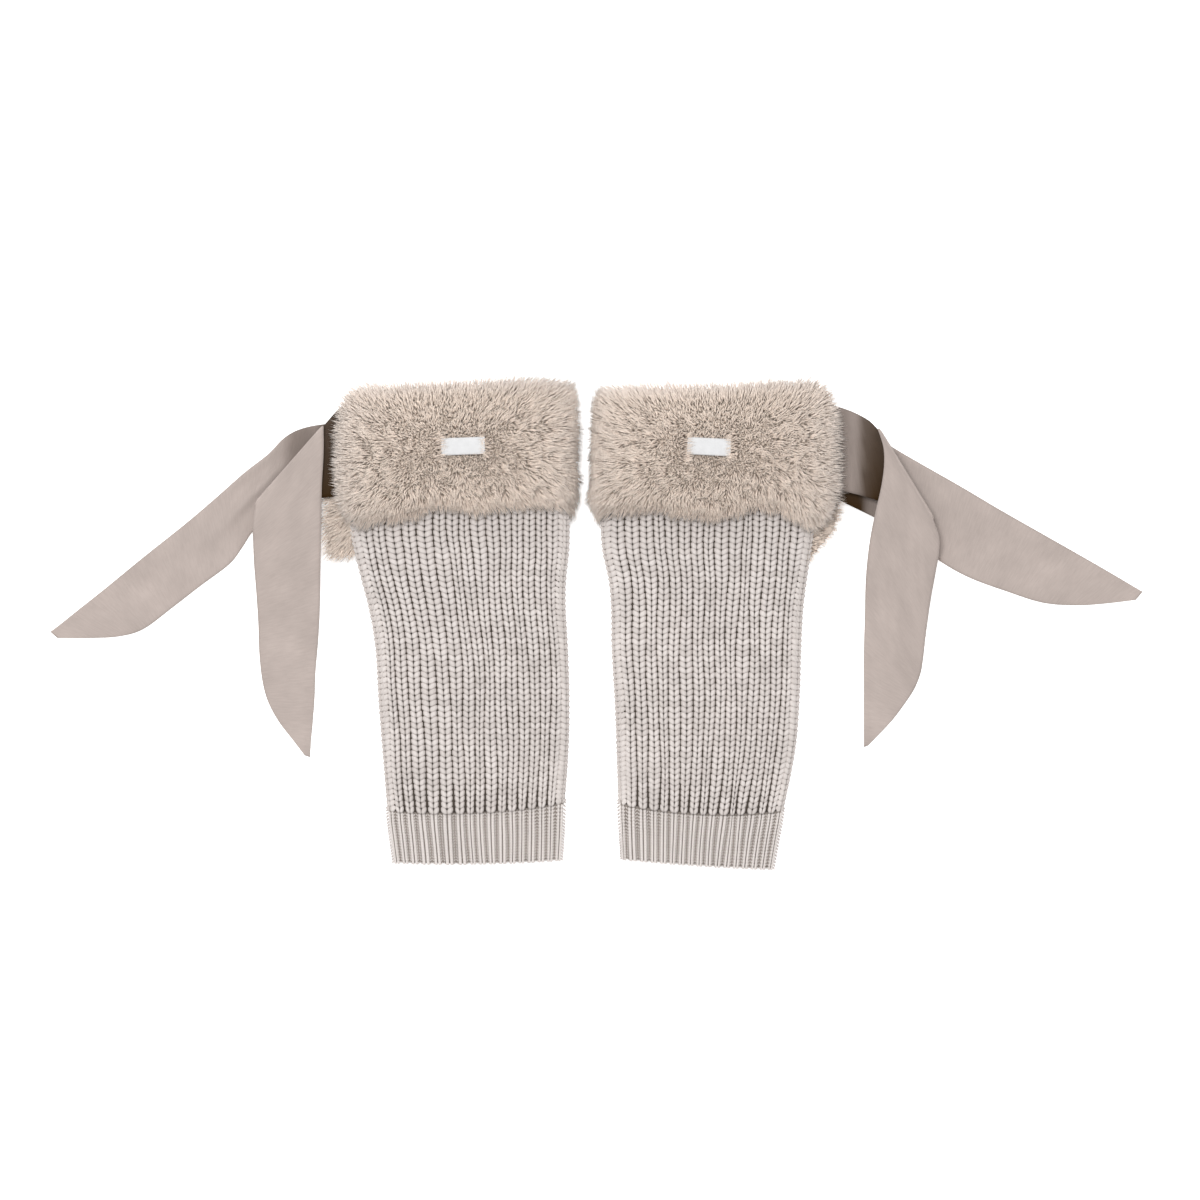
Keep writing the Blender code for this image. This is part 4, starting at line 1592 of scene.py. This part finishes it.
class PileField(Grower):
    """The tree that grows fur from a skin: a bent, tapering strand on each scattered point."""

    SIDES = 3
    SEGMENTS = 2
    LOOPS = SIDES * (SEGMENTS - 1) * 4 + SIDES * 3 + SIDES
    CHANCE_SCALE = 1000.0
    TUFT_TONE = 0.45
    LEAST_HIGH = 0.75
    HIGH_SPREAD = 0.3
    CLIMB = 1.7
    DRIFT = 1.4
    TAPER = 0.45
    TIP = 0.0001

    def __init__(self) -> None:
        """Build the tree."""
        super().__init__("pile_field", asdict(PileShape()))
        cone = {"Vertices": self.SIDES, "Side Segments": self.SEGMENTS,
                "Radius Top": 0.0, "Radius Bottom": 1.0, "Depth": 1.0}
        strand = self.mapped(self.node("GeometryNodeMeshCone", cone))
        strand = self.keep(strand, "local", self.where, VECTOR)
        strand = self.keep(strand, "tip", self.parts(self.where)[2])
        self.end(self.repeat(self.scattered(), strand), self.bent())

    def scattered(self) -> Socket:
        """The points that carry the strands, each with its own tone, lean and height."""
        size, loose = self.sizes, self.named("loose")
        scatter = self.node("GeometryNodeDistributePointsOnFaces", {
            "Mesh": self.carrier, "Seed": size["seed"], "Density": size["density"]})
        points = self.keep(scatter.outputs["Points"], "root", self.where, VECTOR)
        points = self.keep(points, "out", scatter.outputs["Normal"], VECTOR)
        root, out = self.named("root", VECTOR), self.named("out", VECTOR)
        tufts = self.node("ShaderNodeTexVoronoi", {
            "Vector": self.scaled(root, self.maths("DIVIDE", 1.0, size["tuft_pitch"])), "Scale": 1.0})
        chance = self.node("ShaderNodeTexWhiteNoise", {
            "Vector": self.scaled(root, self.CHANCE_SCALE), "W": size["seed"]}, noise_dimensions="4D")
        noise = self.node("ShaderNodeTexNoise", {
            "Vector": root, "Detail": 1.0, "Scale": self.maths("DIVIDE", 1.0, size["swirl_pitch"])})
        tone = self.plus(self.times(chance.outputs["Value"], 1.0 - self.TUFT_TONE),
                         self.times(self.parts(tufts.outputs["Color"])[0], self.TUFT_TONE))
        points = self.keep(points, "tone", tone)
        whorl, stray = (self.vector("SUBTRACT", value, (0.5, 0.5, 0.5))
                        for value in (noise.outputs[1], chance.outputs["Color"]))
        pull = self.vector("SUBTRACT", self.scaled(tufts.outputs["Position"], size["tuft_pitch"]), root)
        lean = self.named("lie", VECTOR)
        for push, reach in ((whorl, self.times(size["swirl"], loose)), (stray, size["stray"]),
                            (pull, self.times(size["gather"], loose))):
            lean = self.vector("ADD", lean, self.scaled(self.across(push, out), reach))
        points = self.keep(points, "lean", lean, VECTOR)
        _, uneven, fallen = self.parts(chance.outputs["Color"])
        high = self.plus(self.LEAST_HIGH, self.times(uneven, self.HIGH_SPREAD))
        high = self.less(high, self.times(self.named("droop"), fallen))
        return self.keep(points, "high", self.times(self.named("rise"), high))

    def bent(self) -> Socket:
        """Where each point of a strand goes: up from the skin, and more and more along its lean."""
        root, out, lean, local = (self.named(name, VECTOR) for name in ("root", "out", "lean", "local"))
        ring_x, ring_y, along = self.parts(local)
        high = self.named("high")
        left = self.maths("MAXIMUM", self.less(1.0, along), 0.0)
        climb = self.less(1.0, self.maths("POWER", left, self.CLIMB))
        drift = self.maths("POWER", along, self.DRIFT)
        spine = self.total(root, self.scaled(out, self.times(high, climb)), self.scaled(lean, drift))
        climb_rate = self.times(self.CLIMB, self.maths("POWER", left, self.CLIMB - 1.0))
        drift_rate = self.times(self.DRIFT, self.maths("POWER", along, self.DRIFT - 1.0))
        climbing = self.scaled(out, self.times(high, climb_rate))
        heading = self.vector("ADD", climbing, self.scaled(lean, drift_rate))
        flank = self.vector("NORMALIZE", self.vector("CROSS_PRODUCT", out, lean))
        back = self.vector("NORMALIZE", self.vector("CROSS_PRODUCT", heading, flank))
        taper = self.maths("POWER", self.maths("MAXIMUM", left, self.TIP), -self.TAPER)
        girth = self.times(self.sizes["width"], taper)
        return self.total(spine, self.scaled(flank, self.times(ring_x, girth)),
                          self.scaled(back, self.times(ring_y, girth)))


@dataclass
class FurCuff:
    """The turned-down fur cuff: its cloth, wrapped round the knit, and its pile.

    Lengths are in millimetres. The words edge and rim are for the outline of the fur,
    open is for the side of the opening, and lobe is for the free corner of the back.
    """

    tables: LegTables
    field: PileField
    finishes: Finishes
    front_cells: int = 34
    fold_cells: int = 8
    back_cells: int = 20
    drops: int = 22
    cloth: float = 1.1
    front_inner: float = 18.6
    crown_drop: float = 3.6
    crown_reach: float = 9.0
    back_inner: float = 6.8
    fold_reach: float = 12.3
    fold_inner: float = 5.8
    open_inset: float = 4.5
    back_inset: float = 2.2
    top_inset: float = 3.7
    low_inset: float = 4.6
    corner_share: float = -0.05
    corner_reach: float = 0.2
    front_rise: float = 4.4
    rim_rise: float = 3.4
    fold_rise: float = 3.6
    fold_share: float = 0.1
    back_rise: float = 4.6
    lobe_rise: float = 4.0
    lobe_reach: float = 0.16
    lobe_top: float = 0.1
    front_rim: float = 0.1
    back_rim: float = 0.08
    edge_share: float = 0.22
    # Painted light on the fur's rims: the width of the top band, its strength towards the opening and the
    # fold, and its share on the lobe, which lies in shade.
    pale_share: float = 0.3
    open_pale: float = 0.8
    fold_pale: float = 0.3
    lobe_pale: float = 0.3
    back_flow: float = 0.5
    flow_curve: float = 1.3
    fall_curve: float = 1.5
    edge_droop: float = 1.1
    edge_calm: float = 0.5
    pale_calm: float = 0.4
    top_calm: float = 0.7
    top_calm_from: float = 0.25
    top_calm_reach: float = 0.5
    tab_calm: float = 0.8
    tab_half: tuple[float, float] = (12.0, 4.75)
    tab_rise: float = 2.6
    tab_bed: float = 0.5
    tab_wall: float = 6.2
    tab_wall_place: float = 2.5
    tab_wall_reach: float = 4.0
    tab_lean: tuple[float, float] = (6.5, 2.0)
    middle_reach: float = 7.0
    rim_reach: float = 6.3
    strands: float = 2.1
    under_share: float = 0.22
    seed: int = 41

    def stations(self) -> list[tuple[Panel, float]]:
        """The stations round the cuff: along the front, round the fold and along the back."""
        path = [(Panel.FRONT, cell / self.front_cells) for cell in range(self.front_cells + 1)]
        path += [(Panel.FOLD, math.pi * cell / self.fold_cells) for cell in range(1, self.fold_cells)]
        path += [(Panel.BACK, 1.0 - cell / self.back_cells) for cell in range(self.back_cells + 1)]
        return path

    def panel(self, panel: Panel, across: float, drop: Array, inner: bool) -> Array:
        """Points down a panel of the cloth.

        Args:
            panel: the front or the back.
            across: the share from the opening to the fold.
            drop: the shares from the top down.
            inner: whether it is the side that faces the knit.

        Returns:
            The points, in millimetres.
        """
        front = panel is Panel.FRONT
        drops, widths = self.tables.cuff_drop, self.tables.cuff_across
        fold_x = read(drops, "x_fold", drop) + self.tables.outward * self.fold_reach
        open_inset = self.open_inset if front else self.back_inset
        open_x = read(drops, "x_" + panel.value, drop) - self.tables.outward * open_inset
        share = np.full(len(drop), across)
        inset = mix(self.corner_share, 1.0, ease(across / self.corner_reach))
        top_y = read(widths, "y_" + panel.value, share) - inset * self.top_inset
        low_y = read(widths, "y_" + panel.value + "_low", share) + inset * self.low_inset
        skin = 0.0 if inner else self.cloth
        level = np.full(len(drop), self.front_inner + skin if front else self.back_inner - skin)
        if front:
            from_ends = np.minimum(drop, 1.0 - drop) * (top_y - low_y)
            inside = np.minimum(from_ends, across * np.abs(fold_x - open_x))
            level = level - self.crown_drop * (1.0 - round_over(inside, self.crown_reach))
        return np.stack([mix(open_x, fold_x, across), mix(top_y, low_y, drop), level], axis=-1)

    def surface(self, inner: bool) -> Array:
        """The grid of one side of the cloth: stations by drops."""
        drop = np.linspace(0.0, 1.0, self.drops)
        front, back = (self.panel(panel, 1.0, drop, inner) for panel in (Panel.FRONT, Panel.BACK))
        reach = self.fold_inner + (0.0 if inner else self.cloth)
        grid = []
        for panel, at in self.stations():
            if panel is Panel.FOLD:
                column = mix(front, back, 0.5 * (1.0 - math.cos(at)))
                column[:, 0] = front[:, 0] - self.tables.outward * reach * math.sin(at)
            else:
                column = self.panel(panel, at, drop, inner)
            grid.append(column)
        return np.array(grid)

    def build(self, tab: Thing) -> None:
        name = self.tables.name + "_cuff"
        skin, inner = self.surface(False), self.surface(True)
        mesh = closed_sheet(name + "_cloth", skin, inner)
        cloth = new_object(name + "_cloth", mesh, self.finishes.pile_ground)
        half, middle = self.front_cells // 2, self.drops // 2
        back = self.front_cells + self.fold_cells
        lobe = len(skin) - 1 - round(self.back_cells * self.lobe_reach)
        stretches = (
            ("open", skin, slice(0, half + 1), 1.0),
            ("fold", skin, slice(half, back + 1), 1.0),
            ("under", skin, slice(back, None), self.under_share),
            ("lobe", inner[:, middle:], slice(lobe, None), 1.0),
        )
        piles = [self.pile(f"{name}_{word}_pile", grid, part, share * self.strands, word == "lobe")
                 for word, grid, part, share in stretches]
        for piece in (cloth, *piles):
            settle(piece, "fur", self.tables.name + "_fur_cuff")
        self.tables.name + "_body_knit"

    def pile(self, name: str, skin: Array, part: slice, strands: float, lobe: bool) -> Thing:
        """The pile of a stretch of the skin.

        Args:
            name: the object's name.
            skin: the grid that carries it.
            part: the stations that carry it.
            strands: how many strands a square millimetre has.
            lobe: whether it is the upper side of the back panel's free corner.

        Returns:
            The object.
        """
        grid = skin[part]
        stations = self.stations()[part]
        mesh = new_mesh(name + "_skin", grid.reshape(-1, 3), grid_faces(*grid.shape[:2]))
        up = lobe or stations[0][0] is Panel.FRONT
        if mesh.polygons[0].normal.z * (1.0 if up else -1.0) < 0.0:
            mesh.flip_normals()
        for label, values in self.traits(grid, stations, lobe).items():
            add_attribute(mesh, label, values.reshape(-1, 3) if values.ndim == 3 else values.ravel())
        shape = PileShape(strands / MM**2, self.seed + self.tables.outward)
        thing = self.field.grow(name, mesh, self.finishes.pile, asdict(shape))
        tidy_grown(thing, ("tone", "tip", "rim", "out"), self.field.LOOPS)
        rest_on_floor(thing, PILE_GAP)
        return thing

    def traits(self, grid: Array, stations: Sequence[tuple[Panel, float]], lobe: bool) -> dict[str, Array]:
        """How the pile lies at each point of a grid of the skin.

        Args:
            grid: the points, stations by drops.
            stations: the stretch and place of each station.
            lobe: whether it is the upper side of the back panel's free corner.

        Returns:
            The way and length that the pile leans, how far it rises, how loosely it
            lies, how much of it has fallen and how much painted light it takes near a rim.
        """
        at = np.array([place for _, place in stations])[:, None]
        front, fold = (np.array([[panel is kind] for panel, _ in stations])
                       for kind in (Panel.FRONT, Panel.FOLD))
        drop = np.linspace(self.lobe_top if lobe else -1.0, 1.0, grid.shape[1])[None, :]
        from_middle = np.sign(at - 0.5) * np.abs(2.0 * at - 1.0) ** self.flow_curve
        from_ends = mix(1.0, self.back_flow, ease(4.0 * np.minimum(at, 1.0 - at)))
        flow = np.select([front, fold], [from_middle, 1.0], from_ends)
        to_fold = mix(self.front_rise, self.fold_rise, ease((at - (1.0 - self.fold_share)) / self.fold_share))
        rise = np.select([front, fold], [to_fold, self.fold_rise], self.lobe_rise if lobe else self.back_rise)
        open_rim = np.select([front, fold], [1.0 - at / self.front_rim, 0.0], 1.0 - at / self.back_rim)
        rims = ((np.abs(drop), self.edge_share), (-drop, self.pale_share))
        edge, pale = (ease(np.clip(np.maximum(open_rim, (away - (1.0 - share)) / share), 0.0, 1.0))
                      for away, share in rims)
        calm = self.top_calm * ease((-drop - self.top_calm_from) / self.top_calm_reach)
        reach = mix(self.middle_reach, self.rim_reach, edge)
        lie = unit(np.gradient(grid, axis=0)) * (flow * reach)[..., None]
        fall = np.sign(drop) * np.abs(drop) ** self.fall_curve
        lie = lie + unit(np.gradient(grid, axis=1)) * (fall * reach)[..., None]
        rise = mix(rise + np.zeros_like(drop), self.rim_rise, edge)
        off = [grid[..., 0] - self.tables.tab.x, grid[..., 1] - self.tables.tab.y]
        past_end, past_side = (np.abs(way) - half for way, half in zip(off, self.tab_half))
        beyond = np.maximum(past_end, past_side)
        wall = front * (1.0 - ease(np.abs(beyond - self.tab_wall_place) / self.tab_wall_reach))
        bed = front * (1.0 - ease(beyond + self.tab_bed))
        rise = mix(mix(rise, self.tab_wall, wall), self.tab_rise, bed)
        over_end = wall * (past_end > past_side)
        lie = lie * (1.0 - np.maximum(wall, bed))[..., None]
        lie[..., 0] -= np.sign(off[0]) * over_end * self.tab_lean[0]
        lie[..., 1] += np.sign(off[1]) * (wall - over_end) * self.tab_lean[1]
        # Painted light: the fur is paler at the top rim and towards the opening and the fold; the lobe, in
        # shade, keeps less of it.
        side = np.where(flow < 0.0, self.open_pale, self.fold_pale) * np.abs(flow) ** 3
        loose = 1.0 - np.maximum(self.edge_calm * edge + self.pale_calm * pale, calm)
        return {
            "lie": lie * MM,
            "rise": rise * MM,
            "loose": loose * (1.0 - self.tab_calm * np.maximum(wall, bed)),
            "droop": self.edge_droop * edge,
            "rim": np.clip(np.maximum(pale, side), 0.0, 1.0) * (self.lobe_pale if lobe else 1.0),
        }


@dataclass
class SashTie:
    """A sewn double sash, with its fold where it has one."""

    tables: LegTables
    finishes: Finishes
    place: str
    run: tuple[SashRow, ...]
    tail: tuple[SashRow, ...]
    creases: tuple[Crease, ...]
    # Painted shade by distance from the middle: pairs of that distance and its share.
    dim: tuple[tuple[float, float], ...]
    thickness: float = 1.15
    edge_thickness: float = 0.6
    edge_round: float = 2.2
    tip_margin: float = 0.3
    across_cells: int = 22
    steps: int = 5
    turn_steps: int = 9
    turn_push: float = 0.16
    # How the painted shade fades across the fold's turn, and how much of it is left at the first edge.
    turn_dim: tuple[float, float] = (-0.6, 1.6)
    edge_dim: float = 0.88
    crease_end: float = 0.1

    def turn_rows(self) -> Array:
        """The rows of the fold, from the run's last row up and round to the tail's first."""
        start, end = np.array(self.run[-1]), np.array(self.tail[0])
        along = unit(np.array([start[3] - start[0], start[4] - start[1], 0.0]))
        outward = np.array([along[1], -along[0], 0.0])
        if outward[0] * start[0] < 0.0:
            outward = -outward
        rows = []
        for step in range(1, self.turn_steps):
            angle = math.pi * step / self.turn_steps
            row = start.copy()
            for edge in (slice(0, 3), slice(3, 6)):
                height, top = start[edge][2], end[edge][2]
                row[edge] += outward * self.turn_push * (top - height) * math.sin(angle)
                row[edge][2] = mix(height, top, 0.5 * (1.0 - math.cos(angle)))
            rows.append(row)
        return np.array(rows)

    def sections(self) -> tuple[Array, Array]:
        """All the sections of the sash, and how far inside its fold each one is, which scales its painted
        shade.
        """
        rows = smooth_rows(self.tail, self.steps)
        inside = np.ones(len(rows))
        if self.run:
            run = smooth_rows(self.run, self.steps)
            turn = self.turn_rows()
            opening = 1.0 - ease(np.linspace(*self.turn_dim, len(turn)))
            inside = np.concatenate([np.ones(len(run)), opening, 0.0 * inside])
            rows = np.vstack([run, turn, rows])
        return rows, inside

    def build(self) -> None:
        name = self.tables.name + "_" + self.place + "_sash"
        rows, inside = self.sections()
        across = np.linspace(0.0, 1.0, self.across_cells + 1)
        grid = rows[:, None, :3] + (rows[:, None, 3:] - rows[:, None, :3]) * across[None, :, None]
        grid[..., 2] = np.maximum(grid[..., 2], 0.5 * self.thickness)
        spans = np.linalg.norm(np.diff(grid[:, self.across_cells // 2], axis=0), axis=-1)
        length = np.concatenate([[0.0], np.cumsum(spans)])
        width = np.linalg.norm(rows[:, 3:] - rows[:, :3], axis=-1)
        normals = grid_normals(grid)
        if normals[-1, 0, 2] < 0.0:
            normals = -normals
        raised = self.crease_heights(across, length / length[-1], width, length[-1])
        grid = grid + normals * raised[..., None]
        rim = np.minimum(across, 1.0 - across)[None, :] * width[:, None]
        inwards = np.minimum(rim, (length[-1] - length)[:, None] + self.tip_margin)
        half = 0.5 * mix(self.edge_thickness, self.thickness, round_over(inwards, self.edge_round))
        upper, lower = grid + normals * half[..., None], grid - normals * half[..., None]
        lift = np.maximum(FLOOR_GAP - lower[..., 2], 0.0)
        for side in (upper, lower):
            side[..., 2] += lift
        mesh = closed_sheet(name, upper, lower)
        flat = np.stack(np.broadcast_arrays(across[None, :] * width[:, None], length[:, None]), axis=-1)
        add_cloth_map(mesh, np.tile(flat.reshape(-1, 2), (2, 1)))
        # Painted shade inside the fold and under the front tie, a little weaker at the first edge.
        dim = np.interp(np.abs(grid[..., 0]), *np.array(self.dim).T) * inside[:, None]
        add_attribute(mesh, "dim", np.tile((dim * mix(self.edge_dim, 1.0, across)[None, :]).ravel(), 2))
        sash = new_object(name, mesh, self.finishes.sash)
        settle(sash, "sash", self.tables.name + "_tie_" + self.place)
        self.tables.name + "_fur_cuff"

    def crease_heights(self, across: Array, along: Array, width: Array, length: float) -> Array:
        """How far the creases raise each point of the sash, in millimetres.

        Args:
            across: the share across the sash of each column of points.
            along: the share along it of each row.
            width: the width of each row.
            length: the length of the sash.

        Returns:
            The heights, rows by columns.
        """
        raised = np.zeros((len(along), len(across)))
        x = across[None, :] * width[:, None]
        y = np.broadcast_to((along * length)[:, None], raised.shape)
        for crease in self.creases:
            span = np.interp([crease.along_from, crease.along_to], along, width)
            start = np.array([crease.across_from * span[0], crease.along_from * length])
            end = np.array([crease.across_to * span[1], crease.along_to * length])
            way = end - start
            share = ((x - start[0]) * way[0] + (y - start[1]) * way[1]) / float(way @ way)
            share = np.clip(share, 0.0, 1.0)
            off = np.hypot(x - start[0] - share * way[0], y - start[1] - share * way[1])
            swell = np.sin(math.pi * mix(self.crease_end, 1.0 - self.crease_end, share))
            raised += crease.height * np.exp(-((off / crease.width) ** 2)) * swell
        return raised


@dataclass
class WovenTab:
    """A bare woven tab, turned under at both ends and sewn down with a row of stitches."""

    tables: LegTables
    finishes: Finishes
    size: tuple[float, float, float] = (24.0, 9.5, 0.8)
    height: float = 22.7
    cells: tuple[int, int] = (32, 12)
    edge_round: float = 0.9
    top_share: float = 0.55
    low_share: float = 0.25
    end_fold: float = 1.6
    end_dip: float = 0.25
    seam_width: float = 0.35

    def build(self) -> Thing:
        """Make the tab.

        Returns:
            The tab, which goes with the cuff that it is sewn on.
        """
        name = self.tables.name + "_tab"
        x, y = (np.linspace(-0.5, 0.5, cells + 1) * size for cells, size in zip(self.cells, self.size))
        across, up = np.meshgrid(x, y, indexing="ij")
        from_end, from_side = 0.5 * self.size[0] - np.abs(across), 0.5 * self.size[1] - np.abs(up)
        crown = round_over(np.minimum(from_end, from_side), self.edge_round)
        seam = np.exp(-(((from_end - self.end_fold) / self.seam_width) ** 2))
        top = self.size[2] * mix(self.top_share, 1.0, crown) - self.end_dip * seam
        low = self.size[2] * self.low_share * (1.0 - crown)
        turn = math.radians(self.tables.tab.turn)
        placed_x = self.tables.tab.x + across * math.cos(turn) - up * math.sin(turn)
        placed_y = self.tables.tab.y + across * math.sin(turn) + up * math.cos(turn)
        outer, inner = (np.stack([placed_x, placed_y, self.height + level], axis=-1) for level in (top, low))
        tab = new_object(name, closed_sheet(name, outer, inner), self.finishes.tab)
        settle(tab, "tab", self.tables.name + "_label")
        return tab


@dataclass(frozen=True)
class Studio:
    """The pale floor, the soft light and the camera straight above, in metres."""

    distance: float = 4.0
    far: float = 50.0
    sensor: float = 36.0
    frame_width: float = 0.66
    aim: tuple[float, float] = (0.00193, 0.01293)
    floor_half: float = 4.0
    world_light: float = 0.79
    lamp_power: float = 44.5
    lamp_size: float = 1.2
    lamp_place: tuple[float, float, float] = (-0.42, 0.68, 2.54)

    def add(self, name: str, data: bpy.types.ID, place: Sequence[float]) -> Thing:
        """An object of the studio at a place."""
        thing = bpy.data.objects.new(name, data)
        thing.location = place
        bpy.context.scene.collection.objects.link(thing)
        return thing

    def camera(self) -> None:
        """Place the camera over the middle of the photograph's frame."""
        data = bpy.data.cameras.new("camera")
        data.sensor_width = self.sensor
        data.lens = self.sensor * self.distance / self.frame_width
        data.clip_end = self.far
        bpy.context.scene.camera = self.add("camera", data, (*self.aim, self.distance))

    def floor(self, finish: Material) -> None:
        """Lay the pale floor."""
        half = self.floor_half / MM
        corners = np.array([[-half, -half, 0.0], [half, -half, 0.0], [half, half, 0.0], [-half, half, 0.0]])
        new_object("floor", new_mesh("floor", corners, [(0, 1, 2, 3)]), finish)

    def light(self) -> None:
        """Light the scene softly from all round, a little more from the upper left."""
        world = bpy.data.worlds.new("studio")
        world.use_nodes = True
        sky = world.node_tree.nodes["Background"].inputs
        sky["Color"].default_value = (1.0, 1.0, 1.0, 1.0)
        sky["Strength"].default_value = self.world_light
        bpy.context.scene.world = world
        data = bpy.data.lights.new("softbox", "AREA")
        data.shape = "DISK"
        data.size = self.lamp_size
        data.energy = self.lamp_power
        lamp = self.add("softbox", data, self.lamp_place)
        lamp.rotation_euler = (-Vector(self.lamp_place)).to_track_quat("-Z", "Y").to_euler()
        bpy.context.scene.view_settings.view_transform = "Standard"

    def build(self, finish: Material) -> None:
        """Set up the studio."""
        self.camera()
        self.floor(finish)
        self.light()


def main() -> None:
    """Build the studio and both leg warmers."""
    logging.basicConfig(level=logging.INFO, format="%(name)s %(message)s")
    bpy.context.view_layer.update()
    finishes = Finishes()
    Studio().build(finishes.floor)
    stitches = StitchField()
    pile = PileField()
    for tables in (LEFT, RIGHT):
        KnitLeg(tables, stitches, finishes).build()
        HemRib(tables, stitches, finishes).build()
        FurCuff(tables, pile, finishes).build(WovenTab(tables, finishes).build())
        SashTie(tables, finishes, "front", tables.front_run, tables.front_tail, tables.front_creases,
                tables.run_dim).build()
        SashTie(tables, finishes, "rear", (), tables.rear_tail, tables.rear_creases, tables.rear_dim).build()


if __name__ == "__main__":
    main()
